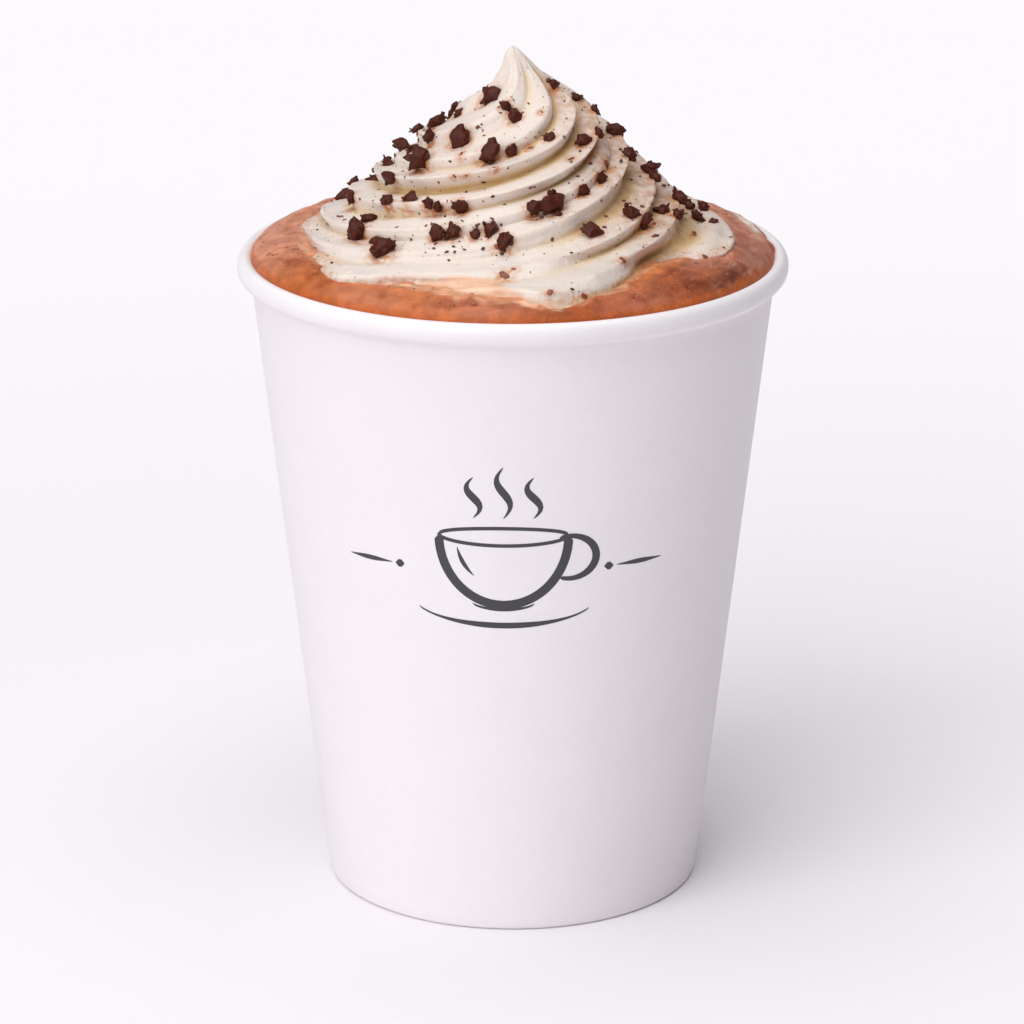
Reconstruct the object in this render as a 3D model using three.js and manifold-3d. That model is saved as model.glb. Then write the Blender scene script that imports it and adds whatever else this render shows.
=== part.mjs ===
// A paper cup of hot chocolate under a piped swirl of whipped cream with chocolate flakes.
// Millimetres, +Z up. The origin is the middle of the cup's bottom, and the front looks along -Y.
import * as THREE from "three";
import { mergeVertices } from "three/addons/utils/BufferGeometryUtils.js";
import Module from "manifold-3d";

const wasm = await Module();
wasm.setup();

// Cup
const CUP_HEIGHT = 107;
const BASE_RADIUS = 31;
const NECK_RADIUS = 42.77; // outside of the wall, just under the rolled rim
const RIM_RADIUS = 45;
const RIM_WIDTH = 2.7;
const RIM_DEPTH = 3.84;
const PAPER = 0.5;
const FOOT_THICKNESS = 1.6; // the wall's paper turned in round the base's skirt
const FOOT_HEIGHT = 7.3;
const FOOT_ROUNDING = 0.4;
const RIM_STEPS = 12;
const ROUND_STEPS = 64;
const GAP = 0.3;
const WELD_DISTANCE = 1e-4;

// Drink, filled up to a froth that domes above the rim
const FROTH_RADIUS = 42.7;
const FROTH_EDGE = -0.2; // height of the froth's edge over the top of the rim
const FROTH_RISE = 3.6;
const FROTH_POWER = 10;
const FROTH_ROUNDING = 0.6;
const FROTH_RINGS = [41.6, 41, 40, 38.4, 36, 32, 22];

// Whipped cream, piped in one upright star that turns as it rises
const CREAM_BASE = CUP_HEIGHT + 1.6;
const TIP_HEIGHT = 141.1;
const CREAM_RISE = TIP_HEIGHT - CREAM_BASE;
const FIRST_RIDGE = 305.4; // degrees round from +X at the cream's base
const TURN = 14.9; // degrees a ridge turns for each millimetre that it rises
const PEAK_TURN = 4;
const PEAK_START = 19.5;
const PEAK_EASE = 6.5;
const LEAN = 1.5; // the ridges' courses lie this much higher on one side
const LEAN_TOWARDS = 331.6;
const LEAN_GROWN = 0.25; // share of the cream's rise by which they lean fully
const LEAN_FADES_FROM = 0.6;
const LEAN_FADES_TO = 0.95;
const RIDGE_DEPTH = 1.35;
const CREST_SHARPNESS = 0.96;
const VALLEY_MIDDLE = 0.5; // share of the way to the next ridge, for a face of depth 1
const VALLEY_SHIFT = 0.08;
const DROOP = 0.45;
const RELIEF_FROM = 0.03; // share of the rise below the tip at which the ridges begin to stand out
const RELIEF_TO = 0.34;
const TIP_RELIEF = 0.08;
const FOOT_FROM = 0.9; // share of the rise below the tip at which the ridges begin to flatten
const FOOT_LOSS = 0.55;
const SLOPE_OUT = 0.8; // the swirl's mean surface faces this much outwards and this much upwards
const SLOPE_UP = 0.6;
const FACE_BLEND_FROM = 0.35; // share of the way to the next ridge over which its face takes over
const FACE_BLEND_TO = 0.9;
const NECK_SHIFT = 1.7; // the neck under the tip sits a little to the right
const NECK_DEPTH = 7.5;
const NECK_SPREAD = 5;
const NECK_BELOW_TIP = 3;

// The ridges, in order: degrees out of even spacing, more of that low down, and how deep the face
// is on the left, in front and on the right
const RIDGES = [
  { shift: 11, low: 0, left: 0.35, front: 0.5, right: 0.95 },
  { shift: 1, low: 0, left: 1.1, front: 1.45, right: 1 },
  { shift: 2, low: 0, left: 0.9, front: 0.8, right: 1.2 },
  { shift: -7, low: 16, left: 0.85, front: 0.4, right: 0.12 },
  { shift: -25, low: 22, left: 0.75, front: 0.35, right: 1.2 },
  { shift: -9, low: 4, left: 0.6, front: 0.3, right: 1.05 },
  { shift: 5, low: -20, left: 0.7, front: 0.5, right: 1.05 },
];
const LOW_SHIFT_FROM = 4;
const LOW_SHIFT_TO = 14;
const FRONT_SIDE = 255;
const FRONT_SPREAD = 36;
const RIGHT_SIDE = 350;

// Mean radius of the swirl at a depth below its tip
const SWIRL_PROFILE = [
  [0, 0],
  [1, 1.15],
  [4, 3.1],
  [7.5, 6.2],
  [11, 10.4],
  [16, 16.3],
  [22, 22.2],
  [27, 28.4],
  [31, 33.6],
  [32.5, 35.2],
];

// The cream's edge on the froth: direction in degrees, and radius
const EDGE = [
  [0, 35.3], [12, 34.8], [30, 33.4], [50, 35.2], [72, 33.2], [95, 35.6], [115, 33.2],
  [135, 35.2], [153, 33.6], [170, 34.2], [185, 33.8], [200, 35], [213, 36.5], [224, 38.6],
  [231, 38], [243, 34.8], [258, 35.4], [268, 37], [279, 40.4], [290, 38.9], [300, 36.2],
  [311, 31.9], [321, 30.7], [331, 32.6], [338, 35.8], [350, 36],
];
const EDGE_MEAN = 33.6;
const EDGE_TOP = 5; // height above the cream's base up to which the edge spreads it
const EDGE_BOTTOM = 2;
const COLUMNS_PER_RIDGE = 8;
const SWIRL_ROWS = 40;
const SWIRL_SUNK = 1.2; // it starts under the froth, which then cuts it
const SWIRL_TOP = 0.99; // share of the rise at which the last row lies
const NORMAL_STEP = 0.02;
const CLEAR_DEPTH = 10; // size of the space below the froth that the cream keeps clear of
const CLEAR_MARGIN = 5;

// The front view by which the flakes that show are placed: millimetres, degrees and pixels
const VIEW = {
  distance: 794.5,
  elevation: 18.23,
  targetX: -0.14,
  targetZ: 62.06,
  focal: 4780.3,
  middle: 512,
};
const SPOT_ROWS = 130;
const SPOT_COLUMNS = 26; // for each ridge
const SPOT_NEAR = 3; // pixels by which a spot may miss
const SPOT_AWAY_WEIGHT = 0.5; // a nearer spot wins over one behind it

// Flakes seen from the front: pixel across, pixel down, size in millimetres
const FLAKES_SEEN = [
  [489, 96, 3.5], [508, 104, 2.0], [516, 113, 2.6], [458, 112, 2.0], [451, 103, 1.8], [442, 108, 1.8],
  [436, 122, 3.6], [428, 134, 2.2], [415, 128, 2.1], [459, 138, 4.0], [400, 140, 1.6], [420, 158, 4.1],
  [411, 147, 2.0], [353, 180, 2.0], [388, 179, 2.3], [350, 197, 2.5], [386, 203, 2.2], [410, 198, 2.5],
  [428, 204, 1.9], [437, 207, 1.7], [462, 207, 2.5], [369, 219, 2.3], [357, 231, 3.9], [384, 249, 4.2],
  [375, 240, 2.2], [438, 235, 2.6], [452, 233, 2.8], [474, 234, 2.0], [492, 230, 2.9], [504, 239, 2.6],
  [490, 155, 3.5], [513, 152, 2.1], [550, 136, 2.1], [585, 140, 3.0], [555, 82, 1.7], [577, 96, 1.9],
  [593, 108, 1.8], [613, 129, 3.0], [599, 131, 1.7], [631, 153, 2.2], [602, 178, 2.3], [583, 191, 2.0],
  [533, 209, 2.8], [555, 203, 3.9], [590, 231, 3.2], [652, 169, 3.1], [658, 178, 2.2], [630, 213, 3.0],
  [646, 221, 3.0], [664, 210, 2.6], [679, 196, 3.0], [675, 213, 2.1], [704, 206, 2.3], [697, 215, 2.3],
  [689, 205, 1.9], [715, 222, 1.7],
];

// Flakes on the sides and the back, scattered on the ledges between the ridges
const FLAKES_SCATTERED = 28;
const SCATTER_FROM = 5; // degrees round from +X, over the back, to where the front flakes begin
const SCATTER_TO = 172;
const SCATTER_LOW = 3;
const SCATTER_HIGH = 27;
const LEDGE_FROM = 0.5; // share of the way from one ridge down to the next
const LEDGE_TO = 0.95;
const SMALL_FLAKE = 1.7;
const LARGE_FLAKE = 3.4;
const FLAKE_SPACING = 2.6;
const FLAKE_RADIUS = 0.57; // of its width, before its corners swell or shrink
const FLAKE_THICKNESS = 0.62; // of its width
const FLAKE_SINK = 0.12; // how far its middle lies above the cream, of its width
const FLAKE_JITTER = 0.3;
const FLAKE_NARROWEST = 0.7;
const SEED = 20391;

const FULL_TURN = 360;
const radians = THREE.MathUtils.degToRad;
const mix = THREE.MathUtils.lerp;
const clamp = THREE.MathUtils.clamp;

function smooth(from, to, x) {
  const t = clamp((x - from) / (to - from), 0, 1);
  return t * t * (3 - 2 * t);
}

function bump(angle, centre, width) {
  const away = THREE.MathUtils.euclideanModulo(angle - centre + 180, FULL_TURN) - 180;
  return Math.exp(-((away / width) ** 2));
}

// Random numbers from 0 to 1 that come out the same every time
function randomDraws(seed) {
  let state = seed;
  return () => {
    state = (Math.imul(state, 1664525) + 1013904223) >>> 0;
    return state / 2 ** 32;
  };
}

// A smooth curve through points, read off at x
function curveThrough(points, x) {
  const slopeAt = (i) => {
    const before = points[Math.max(i - 1, 0)];
    const after = points[Math.min(i + 1, points.length - 1)];
    return (after[1] - before[1]) / (after[0] - before[0]);
  };
  let i = 0;
  while (i < points.length - 2 && x > points[i + 1][0]) i += 1;
  const width = points[i + 1][0] - points[i][0];
  const t = clamp((x - points[i][0]) / width, 0, 1);
  const rise = t * t * (3 - 2 * t);
  const leave = t * (1 - t) ** 2 * width;
  const arrive = t * t * (t - 1) * width;
  return mix(points[i][1], points[i + 1][1], rise) + leave * slopeAt(i) + arrive * slopeAt(i + 1);
}

// A body turned about the Z axis from a profile of [radius, height] points
function turned(profile, steps = ROUND_STEPS) {
  const points = profile.map(([radius, height]) => new THREE.Vector2(radius, height));
  return new THREE.LatheGeometry(points, steps).rotateX(Math.PI / 2);
}

function weld(geometry) {
  const plain = geometry.clone();
  plain.deleteAttribute("normal");
  plain.deleteAttribute("uv");
  return mergeVertices(plain, WELD_DISTANCE);
}

function toSolid(geometry) {
  const welded = weld(geometry);
  return new wasm.Manifold(
    new wasm.Mesh({
      numProp: 3,
      vertProperties: new Float32Array(welded.attributes.position.array),
      triVerts: new Uint32Array(welded.index.array),
    }),
  );
}

function toGeometry(solid) {
  const mesh = solid.getMesh();
  const geometry = new THREE.BufferGeometry();
  geometry.setAttribute("position", new THREE.BufferAttribute(new Float32Array(mesh.vertProperties), 3));
  geometry.setIndex(new THREE.BufferAttribute(new Uint32Array(mesh.triVerts), 1));
  geometry.computeVertexNormals();
  return geometry;
}

function named(name, geometry, color, roughness) {
  const mesh = new THREE.Mesh(geometry, new THREE.MeshStandardMaterial({ color, roughness, metalness: 0 }));
  mesh.name = name;
  return mesh;
}

// Outside radius of the cup's conical wall
function wallRadius(z) {
  return mix(BASE_RADIUS, NECK_RADIUS, z / (CUP_HEIGHT - RIM_DEPTH));
}

// Inside radius of the wall, from the foot up to the middle of the rim
function innerRadius(z) {
  const foot = wallRadius(FOOT_HEIGHT) - PAPER;
  const middle = CUP_HEIGHT - RIM_DEPTH / 2;
  return mix(foot, RIM_RADIUS - RIM_WIDTH, (z - FOOT_HEIGHT) / (middle - FOOT_HEIGHT));
}

// The wall with its rolled rim on top and its edge turned in at the foot
function cupWall() {
  const rimCentre = RIM_RADIUS - RIM_WIDTH / 2;
  const rimMiddle = CUP_HEIGHT - RIM_DEPTH / 2;
  const footInside = BASE_RADIUS - FOOT_THICKNESS;
  const profile = [
    [footInside + FOOT_ROUNDING, 0],
    [BASE_RADIUS - FOOT_ROUNDING, 0],
    [wallRadius(FOOT_ROUNDING), FOOT_ROUNDING],
    [NECK_RADIUS, CUP_HEIGHT - RIM_DEPTH],
  ];
  for (let i = 0; i <= RIM_STEPS; i += 1) {
    const angle = mix(-Math.PI / 2, Math.PI, i / RIM_STEPS);
    const radius = rimCentre + (RIM_WIDTH / 2) * Math.cos(angle);
    const height = rimMiddle + (RIM_DEPTH / 2) * Math.sin(angle);
    profile.push([radius, height]);
  }
  profile.push([wallRadius(FOOT_HEIGHT) - PAPER, FOOT_HEIGHT]);
  profile.push([wallRadius(FOOT_HEIGHT) - FOOT_THICKNESS, FOOT_HEIGHT]);
  profile.push([footInside, FOOT_ROUNDING]);
  profile.push(profile[0]);
  return turned(profile);
}

// The disc that closes the cup, set up inside the foot
function cupBase() {
  const low = FOOT_HEIGHT + GAP;
  const high = low + PAPER;
  const radius = innerRadius(low) - GAP;
  return turned([[0, low], [radius, low], [radius, high], [0, high]]);
}

function frothHeight(radius) {
  const share = Math.min(radius / FROTH_RADIUS, 1);
  return CUP_HEIGHT + FROTH_EDGE + FROTH_RISE * (1 - share ** FROTH_POWER) ** FROTH_ROUNDING;
}

// The drink from the cup's base up to its domed froth
function drink() {
  const bottom = FOOT_HEIGHT + GAP + PAPER + GAP;
  const shoulder = CUP_HEIGHT - RIM_DEPTH / 2;
  const edge = innerRadius(shoulder) - GAP;
  const foot = innerRadius(bottom) - GAP;
  const profile = [[0, bottom], [foot, bottom], [edge, shoulder], [edge, frothHeight(edge)]];
  for (const radius of FROTH_RINGS) profile.push([radius, frothHeight(radius)]);
  profile.push([0, frothHeight(0)]);
  return turned(profile);
}

// Degrees that a ridge has turned at a height above the cream's base
function twist(height) {
  if (height < PEAK_START) return TURN * height;
  const over = height - PEAK_START;
  const eased = over < PEAK_EASE ? over - over ** 2 / (2 * PEAK_EASE) : PEAK_EASE / 2;
  return TURN * PEAK_START + PEAK_TURN * over + (TURN - PEAK_TURN) * eased;
}

// 1 on a crest and -1 in a valley, with straight flanks and rounded corners
function ridgeWave(share, valley) {
  const along = share < valley ? (0.5 * share) / valley : 0.5 + (0.5 * (share - valley)) / (1 - valley);
  return Math.asin(CREST_SHARPNESS * Math.cos(2 * Math.PI * along)) / Math.asin(CREST_SHARPNESS);
}

// How deep a ridge's face is on the side that an angle looks to
function faceDepth(ridge, angle) {
  const rightness = 0.5 + 0.5 * Math.cos(radians(angle - RIGHT_SIDE));
  return mix(mix(ridge.left, ridge.right, rightness), ridge.front, bump(angle, FRONT_SIDE, FRONT_SPREAD));
}

// Radius of the cream's edge on the froth
function edgeRadius(angle) {
  const round = THREE.MathUtils.euclideanModulo(angle, FULL_TURN);
  const before = EDGE.slice(-3).map(([towards, radius]) => [towards - FULL_TURN, radius]);
  const after = EDGE.slice(0, 3).map(([towards, radius]) => [towards + FULL_TURN, radius]);
  return curveThrough([...before, ...EDGE, ...after], round);
}

// The cream's surface. turns counts the ridges round from the first, and climb is the height above its base
function swirlPoint(turns, climb) {
  const here = RIDGES[Math.floor(turns) % RIDGES.length];
  const next = RIDGES[(Math.floor(turns) + 1) % RIDGES.length];
  const share = turns - Math.floor(turns);
  const lowness = 1 - smooth(LOW_SHIFT_FROM, LOW_SHIFT_TO, climb);
  const shift = mix(here.shift + here.low * lowness, next.shift + next.low * lowness, smooth(0, 1, share));
  const angle = (FULL_TURN / RIDGES.length) * turns + FIRST_RIDGE + shift + twist(climb);
  const part = climb / CREAM_RISE;
  const leaning = LEAN * smooth(0, LEAN_GROWN, part) * (1 - smooth(LEAN_FADES_FROM, LEAN_FADES_TO, part));
  const height = climb + leaning * Math.sin(radians(angle - LEAN_TOWARDS));
  const depth = Math.max(CREAM_RISE - height, 0);
  const blend = smooth(FACE_BLEND_FROM, FACE_BLEND_TO, share);
  const face = mix(faceDepth(here, angle), faceDepth(next, angle), blend);
  const grown = smooth(RELIEF_FROM, RELIEF_TO, depth / CREAM_RISE);
  const foot = 1 - FOOT_LOSS * smooth(FOOT_FROM, 1, depth / CREAM_RISE);
  const wave = ridgeWave(share, VALLEY_MIDDLE + VALLEY_SHIFT * (face - 1));
  const relief = RIDGE_DEPTH * face * mix(TIP_RELIEF, 1, grown) * foot * wave;
  const droop = DROOP * grown * foot * face * Math.cos(2 * Math.PI * share);
  const spread = (edgeRadius(angle) - EDGE_MEAN) * (1 - smooth(EDGE_BOTTOM, EDGE_TOP, height));
  const mean = curveThrough(SWIRL_PROFILE, depth) + spread;
  const radius = Math.max(mean + SLOPE_OUT * relief + SLOPE_UP * droop, 0);
  const hollow = Math.exp(-(((depth - NECK_DEPTH) / NECK_SPREAD) ** 2));
  const neck = NECK_SHIFT * hollow * smooth(0, NECK_BELOW_TIP, depth);
  return new THREE.Vector3(
    radius * Math.cos(radians(angle)) + neck,
    radius * Math.sin(radians(angle)),
    CREAM_BASE + height + SLOPE_UP * relief - SLOPE_OUT * droop,
  );
}

function swirlNormal(turns, climb) {
  const after = swirlPoint((turns + NORMAL_STEP) % RIDGES.length, climb);
  const before = swirlPoint((turns - NORMAL_STEP + RIDGES.length) % RIDGES.length, climb);
  const up = swirlPoint(turns, climb + NORMAL_STEP).sub(swirlPoint(turns, climb - NORMAL_STEP));
  return after.sub(before).cross(up).normalize();
}

// The swirl as a drum whose side is drawn to the cream's surface
function swirl() {
  const profile = [[0, 0]];
  for (let row = 0; row <= SWIRL_ROWS; row += 1) profile.push([1, row / SWIRL_ROWS]);
  profile.push([0, 1]);
  const columns = RIDGES.length * COLUMNS_PER_RIDGE;
  const drum = weld(turned(profile, columns));
  const position = drum.attributes.position;
  const point = new THREE.Vector3();
  for (let i = 0; i < position.count; i += 1) {
    point.fromBufferAttribute(position, i);
    const onAxis = Math.hypot(point.x, point.y) < WELD_DISTANCE;
    if (onAxis) {
      point.set(0, 0, point.z === 0 ? CREAM_BASE - SWIRL_SUNK : TIP_HEIGHT);
    } else {
      const column = Math.round((Math.atan2(point.y, point.x) / (2 * Math.PI)) * columns);
      const turns = THREE.MathUtils.euclideanModulo(column, columns) / COLUMNS_PER_RIDGE;
      point.copy(swirlPoint(turns, point.z * CREAM_RISE * SWIRL_TOP));
    }
    position.setXYZ(i, point.x, point.y, point.z);
  }
  return drum;
}

// What the cream keeps clear of: the space below the froth's surface
function belowFroth() {
  const bottom = CREAM_BASE - CLEAR_DEPTH;
  const outside = FROTH_RADIUS + CLEAR_MARGIN;
  const profile = [[0, bottom], [outside, bottom], [outside, CREAM_BASE]];
  for (const radius of [FROTH_RADIUS, ...FROTH_RINGS, 0]) profile.push([radius, frothHeight(radius) + GAP]);
  return turned(profile);
}

// Where a point lands in the front view, in pixels, and how far off it is
function seenFrom(point) {
  const tilt = radians(VIEW.elevation);
  const x = point.x - VIEW.targetX;
  const away = VIEW.distance + point.y * Math.cos(tilt) - (point.z - VIEW.targetZ) * Math.sin(tilt);
  const up = point.y * Math.sin(tilt) + (point.z - VIEW.targetZ) * Math.cos(tilt);
  return { x: VIEW.middle + (VIEW.focal * x) / away, y: VIEW.middle - (VIEW.focal * up) / away, away };
}

// The spot on the side of the swirl that faces the front view, nearest to a pixel
function spotAt(pixelX, pixelY) {
  let best = { score: Infinity };
  for (let row = 1; row < SPOT_ROWS; row += 1) {
    for (let column = 0; column < RIDGES.length * SPOT_COLUMNS; column += 1) {
      const turns = column / SPOT_COLUMNS;
      const climb = (CREAM_RISE * row) / SPOT_ROWS;
      const point = swirlPoint(turns, climb);
      const seen = seenFrom(point);
      const miss = Math.hypot(seen.x - pixelX, seen.y - pixelY);
      const score = Math.max(miss, SPOT_NEAR) + SPOT_AWAY_WEIGHT * (seen.away - VIEW.distance);
      if (score < best.score) best = { score, turns, climb, point };
    }
  }
  return best;
}

// The flakes' spots and sizes, the seen ones first
function flakeSpots() {
  const draw = randomDraws(SEED);
  const spots = FLAKES_SEEN.map(([x, y, size]) => ({ ...spotAt(x, y), size }));
  const wanted = spots.length + FLAKES_SCATTERED;
  while (spots.length < wanted) {
    const turns = Math.floor(draw() * RIDGES.length) + mix(LEDGE_FROM, LEDGE_TO, draw());
    const climb = SCATTER_LOW + (SCATTER_HIGH - SCATTER_LOW) * (1 - Math.sqrt(draw()));
    const size = mix(SMALL_FLAKE, LARGE_FLAKE, draw() ** 2);
    const point = swirlPoint(turns, climb);
    const angle = THREE.MathUtils.radToDeg(Math.atan2(point.y, point.x));
    const clear = spots.every((spot) => spot.point.distanceTo(point) > FLAKE_SPACING);
    if (angle > SCATTER_FROM && angle < SCATTER_TO && clear) spots.push({ turns, climb, point, size });
  }
  return spots;
}

// One flake: a flat knobbly chip that lies on the cream with its middle a little above it
function flake(spot, draw) {
  const geometry = weld(new THREE.IcosahedronGeometry(FLAKE_RADIUS, 0));
  const position = geometry.attributes.position;
  for (let i = 0; i < position.count; i += 1) {
    const swell = 1 + FLAKE_JITTER * (2 * draw() - 1);
    position.setXYZ(i, position.getX(i) * swell, position.getY(i) * swell, position.getZ(i) * swell);
  }
  const width = spot.size;
  geometry.scale(width, width * mix(FLAKE_NARROWEST, 1, draw()), width * FLAKE_THICKNESS);
  geometry.rotateZ(2 * Math.PI * draw());
  const normal = swirlNormal(spot.turns, spot.climb);
  geometry.applyQuaternion(new THREE.Quaternion().setFromUnitVectors(new THREE.Vector3(0, 0, 1), normal));
  const centre = spot.point.clone().addScaledVector(normal, FLAKE_SINK * width);
  return geometry.translate(centre.x, centre.y, centre.z);
}

// The cream with its flakes, cut off just above the froth that carries it
function whippedCream() {
  const draw = randomDraws(SEED + 1);
  let solid = toSolid(swirl());
  for (const spot of flakeSpots()) solid = solid.add(toSolid(flake(spot, draw)));
  const cut = solid.subtract(toSolid(belowFroth()));
  const pieces = cut.decompose().sort((a, b) => b.volume() - a.volume());
  return toGeometry(pieces[0]);
}

const hotChocolate = new THREE.Group();
hotChocolate.add(named("cup_wall", cupWall(), 0xf3f0f4, 0.55));
hotChocolate.add(named("cup_base", cupBase(), 0xeeebef, 0.6));
hotChocolate.add(named("hot_chocolate", drink(), 0xb5764f, 0.45));
hotChocolate.add(named("whipped_cream", whippedCream(), 0xf1e6d8, 0.5));

export default hotChocolate;
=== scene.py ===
"""A paper cup of hot chocolate under a piped swirl of whipped cream with chocolate flakes.

The forms are worked out in millimetres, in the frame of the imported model, and become metres in the meshes.
"""
import itertools
import math

import bpy
import numpy as np
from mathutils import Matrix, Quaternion, Vector


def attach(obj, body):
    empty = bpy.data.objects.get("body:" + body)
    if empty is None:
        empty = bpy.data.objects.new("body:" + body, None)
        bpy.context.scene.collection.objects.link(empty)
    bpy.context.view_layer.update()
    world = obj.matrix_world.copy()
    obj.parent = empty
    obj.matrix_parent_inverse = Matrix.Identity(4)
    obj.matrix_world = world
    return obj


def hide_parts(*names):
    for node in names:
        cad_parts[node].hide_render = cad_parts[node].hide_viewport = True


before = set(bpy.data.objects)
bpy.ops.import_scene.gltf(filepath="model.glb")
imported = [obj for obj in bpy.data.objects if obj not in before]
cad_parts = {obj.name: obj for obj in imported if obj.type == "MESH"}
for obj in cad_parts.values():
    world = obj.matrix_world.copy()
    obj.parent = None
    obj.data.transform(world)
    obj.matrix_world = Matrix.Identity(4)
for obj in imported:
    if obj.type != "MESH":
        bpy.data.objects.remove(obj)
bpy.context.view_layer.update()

MILLIMETRE = 0.001

# Cup
CUP_HEIGHT = 107.0
BASE_RADIUS = 31.0
NECK_RADIUS = 42.77
RIM_RADIUS = 45.0
RIM_WIDTH = 2.7
RIM_DEPTH = 3.84
PAPER = 0.5
FOOT_THICKNESS = 1.6
FOOT_HEIGHT = 7.3
FOOT_ROUNDING = 0.4
FOOT_CURL = 0.75  # how far the bent paper curls up at the outside of the foot
GAP = 0.3
FLOOR_BEVEL = 0.12
CUP_COLUMNS = 256
FOOT_BENDS = (-90, -60, -30, 0)  # degrees round the foot's bend at which it has a point
WALL_STEPS = 40
RIM_STEPS = 56
INSIDE_STEPS = 20
RIM_GROOVE = 0.09  # the roll is pinched in a little above its lower lip
RIM_GROOVE_AT = -58.0
RIM_TUCK = -127.0  # degrees round the rolled rim at which it meets the wall again
SEAM_TOWARDS = 82.0  # degrees round from +X, at the back of the cup
SEAM_HEIGHT = 0.22
SEAM_WIDTH = 9.0  # degrees over which the lapped paper falls back to the wall
SEAM_EDGE = 0.36

# Drink
FROTH_RADIUS = 42.7
FROTH_EDGE = -0.2
FROTH_RISE = 3.6
FROTH_POWER = 10
FROTH_ROUNDING = 0.6
FROTH_COLUMNS = 840
FROTH_RINGS = 104
FROTH_SHOWN_FROM = 27.0  # radius under the cream at which the fine rings begin
FOLD_RADIUS = 38.9  # of the fold along the froth's front
DRINK_OVERLAP = 0.15  # how far the drink reaches into the paper wall

# Whipped cream
CREAM_BASE = CUP_HEIGHT + 1.6
TIP_HEIGHT = 141.1
CREAM_RISE = TIP_HEIGHT - CREAM_BASE
FIRST_RIDGE = 305.4  # direction in degrees of a ridge's foot
TURN = 14.9  # degrees that a ridge turns for each millimetre that it climbs
PEAK_TURN = 4.0  # the same at the peak, which begins at PEAK_START
PEAK_START = 19.5
PEAK_EASE = 6.5
LEAN = 1.5  # how far the turns rise on one side and sink on the other
LEAN_TOWARDS = 331.6
LEAN_GROWN = 0.25  # shares of the swirl's height at which the lean is whole, and between which it fades
LEAN_FADES_FROM = 0.6
LEAN_FADES_TO = 0.95
RIDGE_DEPTH = 1.35
RELIEF_FROM = 0.03  # shares of the depth below the tip between which the ridges grow
RELIEF_TO = 0.34
TIP_RELIEF = 0.08
FOOT_FROM = 0.9  # share of the depth at which the ridges begin to flatten out
FOOT_LOSS = 0.55
DROOP = 0.45  # how far a crest hangs over the valley below it
SLOPE_OUT = 0.8  # the ridges stand out square to the swirl's slope, which has these two parts
SLOPE_UP = 0.6
VALLEY_MIDDLE = 0.5
VALLEY_SHIFT = 0.08
FACE_BLEND_FROM = 0.35
FACE_BLEND_TO = 0.9
NECK_SHIFT = 1.7  # how far the swirl's neck stands to the right of its tip
NECK_DEPTH = 7.5
NECK_SPREAD = 5.0
NECK_BELOW_TIP = 3.0
# Of each ridge: the degrees by which it is out of step, those that it is out low down, and its depth by side
RIDGE_SHIFT = np.array([11.0, 1.0, 2.0, -7.0, -25.0, -9.0, 5.0])
RIDGE_LOW = np.array([0.0, 0.0, 0.0, 16.0, 22.0, 4.0, -20.0])
RIDGE_LEFT = np.array([0.35, 1.1, 0.9, 0.85, 0.75, 0.6, 0.7])
RIDGE_FRONT = np.array([0.5, 1.45, 0.8, 0.4, 0.35, 0.3, 0.5])
RIDGE_RIGHT = np.array([0.95, 1.0, 1.2, 0.12, 1.2, 1.05, 1.05])
RIDGES = len(RIDGE_SHIFT)
LOW_SHIFT_FROM = 4.0
LOW_SHIFT_TO = 14.0
FRONT_SIDE = 255.0
FRONT_SPREAD = 36.0
RIGHT_SIDE = 350.0
SWIRL_PROFILE = [  # depth below the tip and radius
    (0, 0), (1, 1.15), (4, 3.1), (7.5, 6.2), (11, 10.4), (16, 16.3), (22, 22.2), (27, 28.4), (31, 33.6),
    (32.5, 35.2),
]
EDGE = [  # direction in degrees and radius of the swirl's foot
    (0, 35.3), (12, 34.8), (30, 33.4), (50, 35.2), (72, 33.2), (95, 35.6), (115, 33.2), (135, 35.2),
    (153, 33.6), (170, 34.2), (185, 33.8), (200, 35), (213, 36.5), (224, 38.6), (231, 38), (243, 34.8),
    (258, 35.4), (268, 37), (279, 40.4), (290, 38.9), (300, 36.2), (311, 31.9), (321, 30.7), (331, 32.6),
    (338, 35.8), (350, 36),
]
EDGE_MEAN = 33.6
EDGE_TOP = 5.0  # heights between which the foot's outline gives way to the round swirl
EDGE_BOTTOM = 2.0
CREST_SHARPNESS = 0.96  # of the solid, on which the flakes' spots lie
CREST_SHARPNESS_SHOWN = 0.985  # of the swirl that shows
NORMAL_STEP = 0.02
CREAM_COLUMNS = 32  # for each ridge
CREAM_ROWS = 400
LOBE_TOWARDS = 347.0  # the swirl's loose end, on the lower right
LOBE_SPREAD = 17.0
LOBE_CREST = 33.4
LOBE_VALLEY = 30.5
LOBE_RELIEF = 0.5
MELTED_TOWARDS = 262.0  # where the swirl's foot melts into the froth
MELTED_SPREAD = 13.0
MELTED_HEIGHT = 1.6
MELTED_CREAM = (244, 216, 194)
SHADED_SIDE_TOWARDS = 345.0  # where painted shade darkens and browns the swirl's right side, in mottled patches
SHADED_SIDE_SPREAD = 38.0
STAIN_BELOW = 0.38  # how far a stain lies below its flake, and reaches, as shares of the flake's size
STAIN_REACH = 0.6
STAIN_SPREAD = 0.35

# Camera that the photograph was taken with, and the spots of the flakes in its 1024 pixel frame
CAMERA_DISTANCE = 794.487
CAMERA_ELEVATION = 18.228
TARGET_X = -0.139
TARGET_Z = 62.062
FOCAL_PIXELS = 4780.298
FRAME_PIXELS = 1024
FRAME_MIDDLE = FRAME_PIXELS / 2
SENSOR = 36.0

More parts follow.
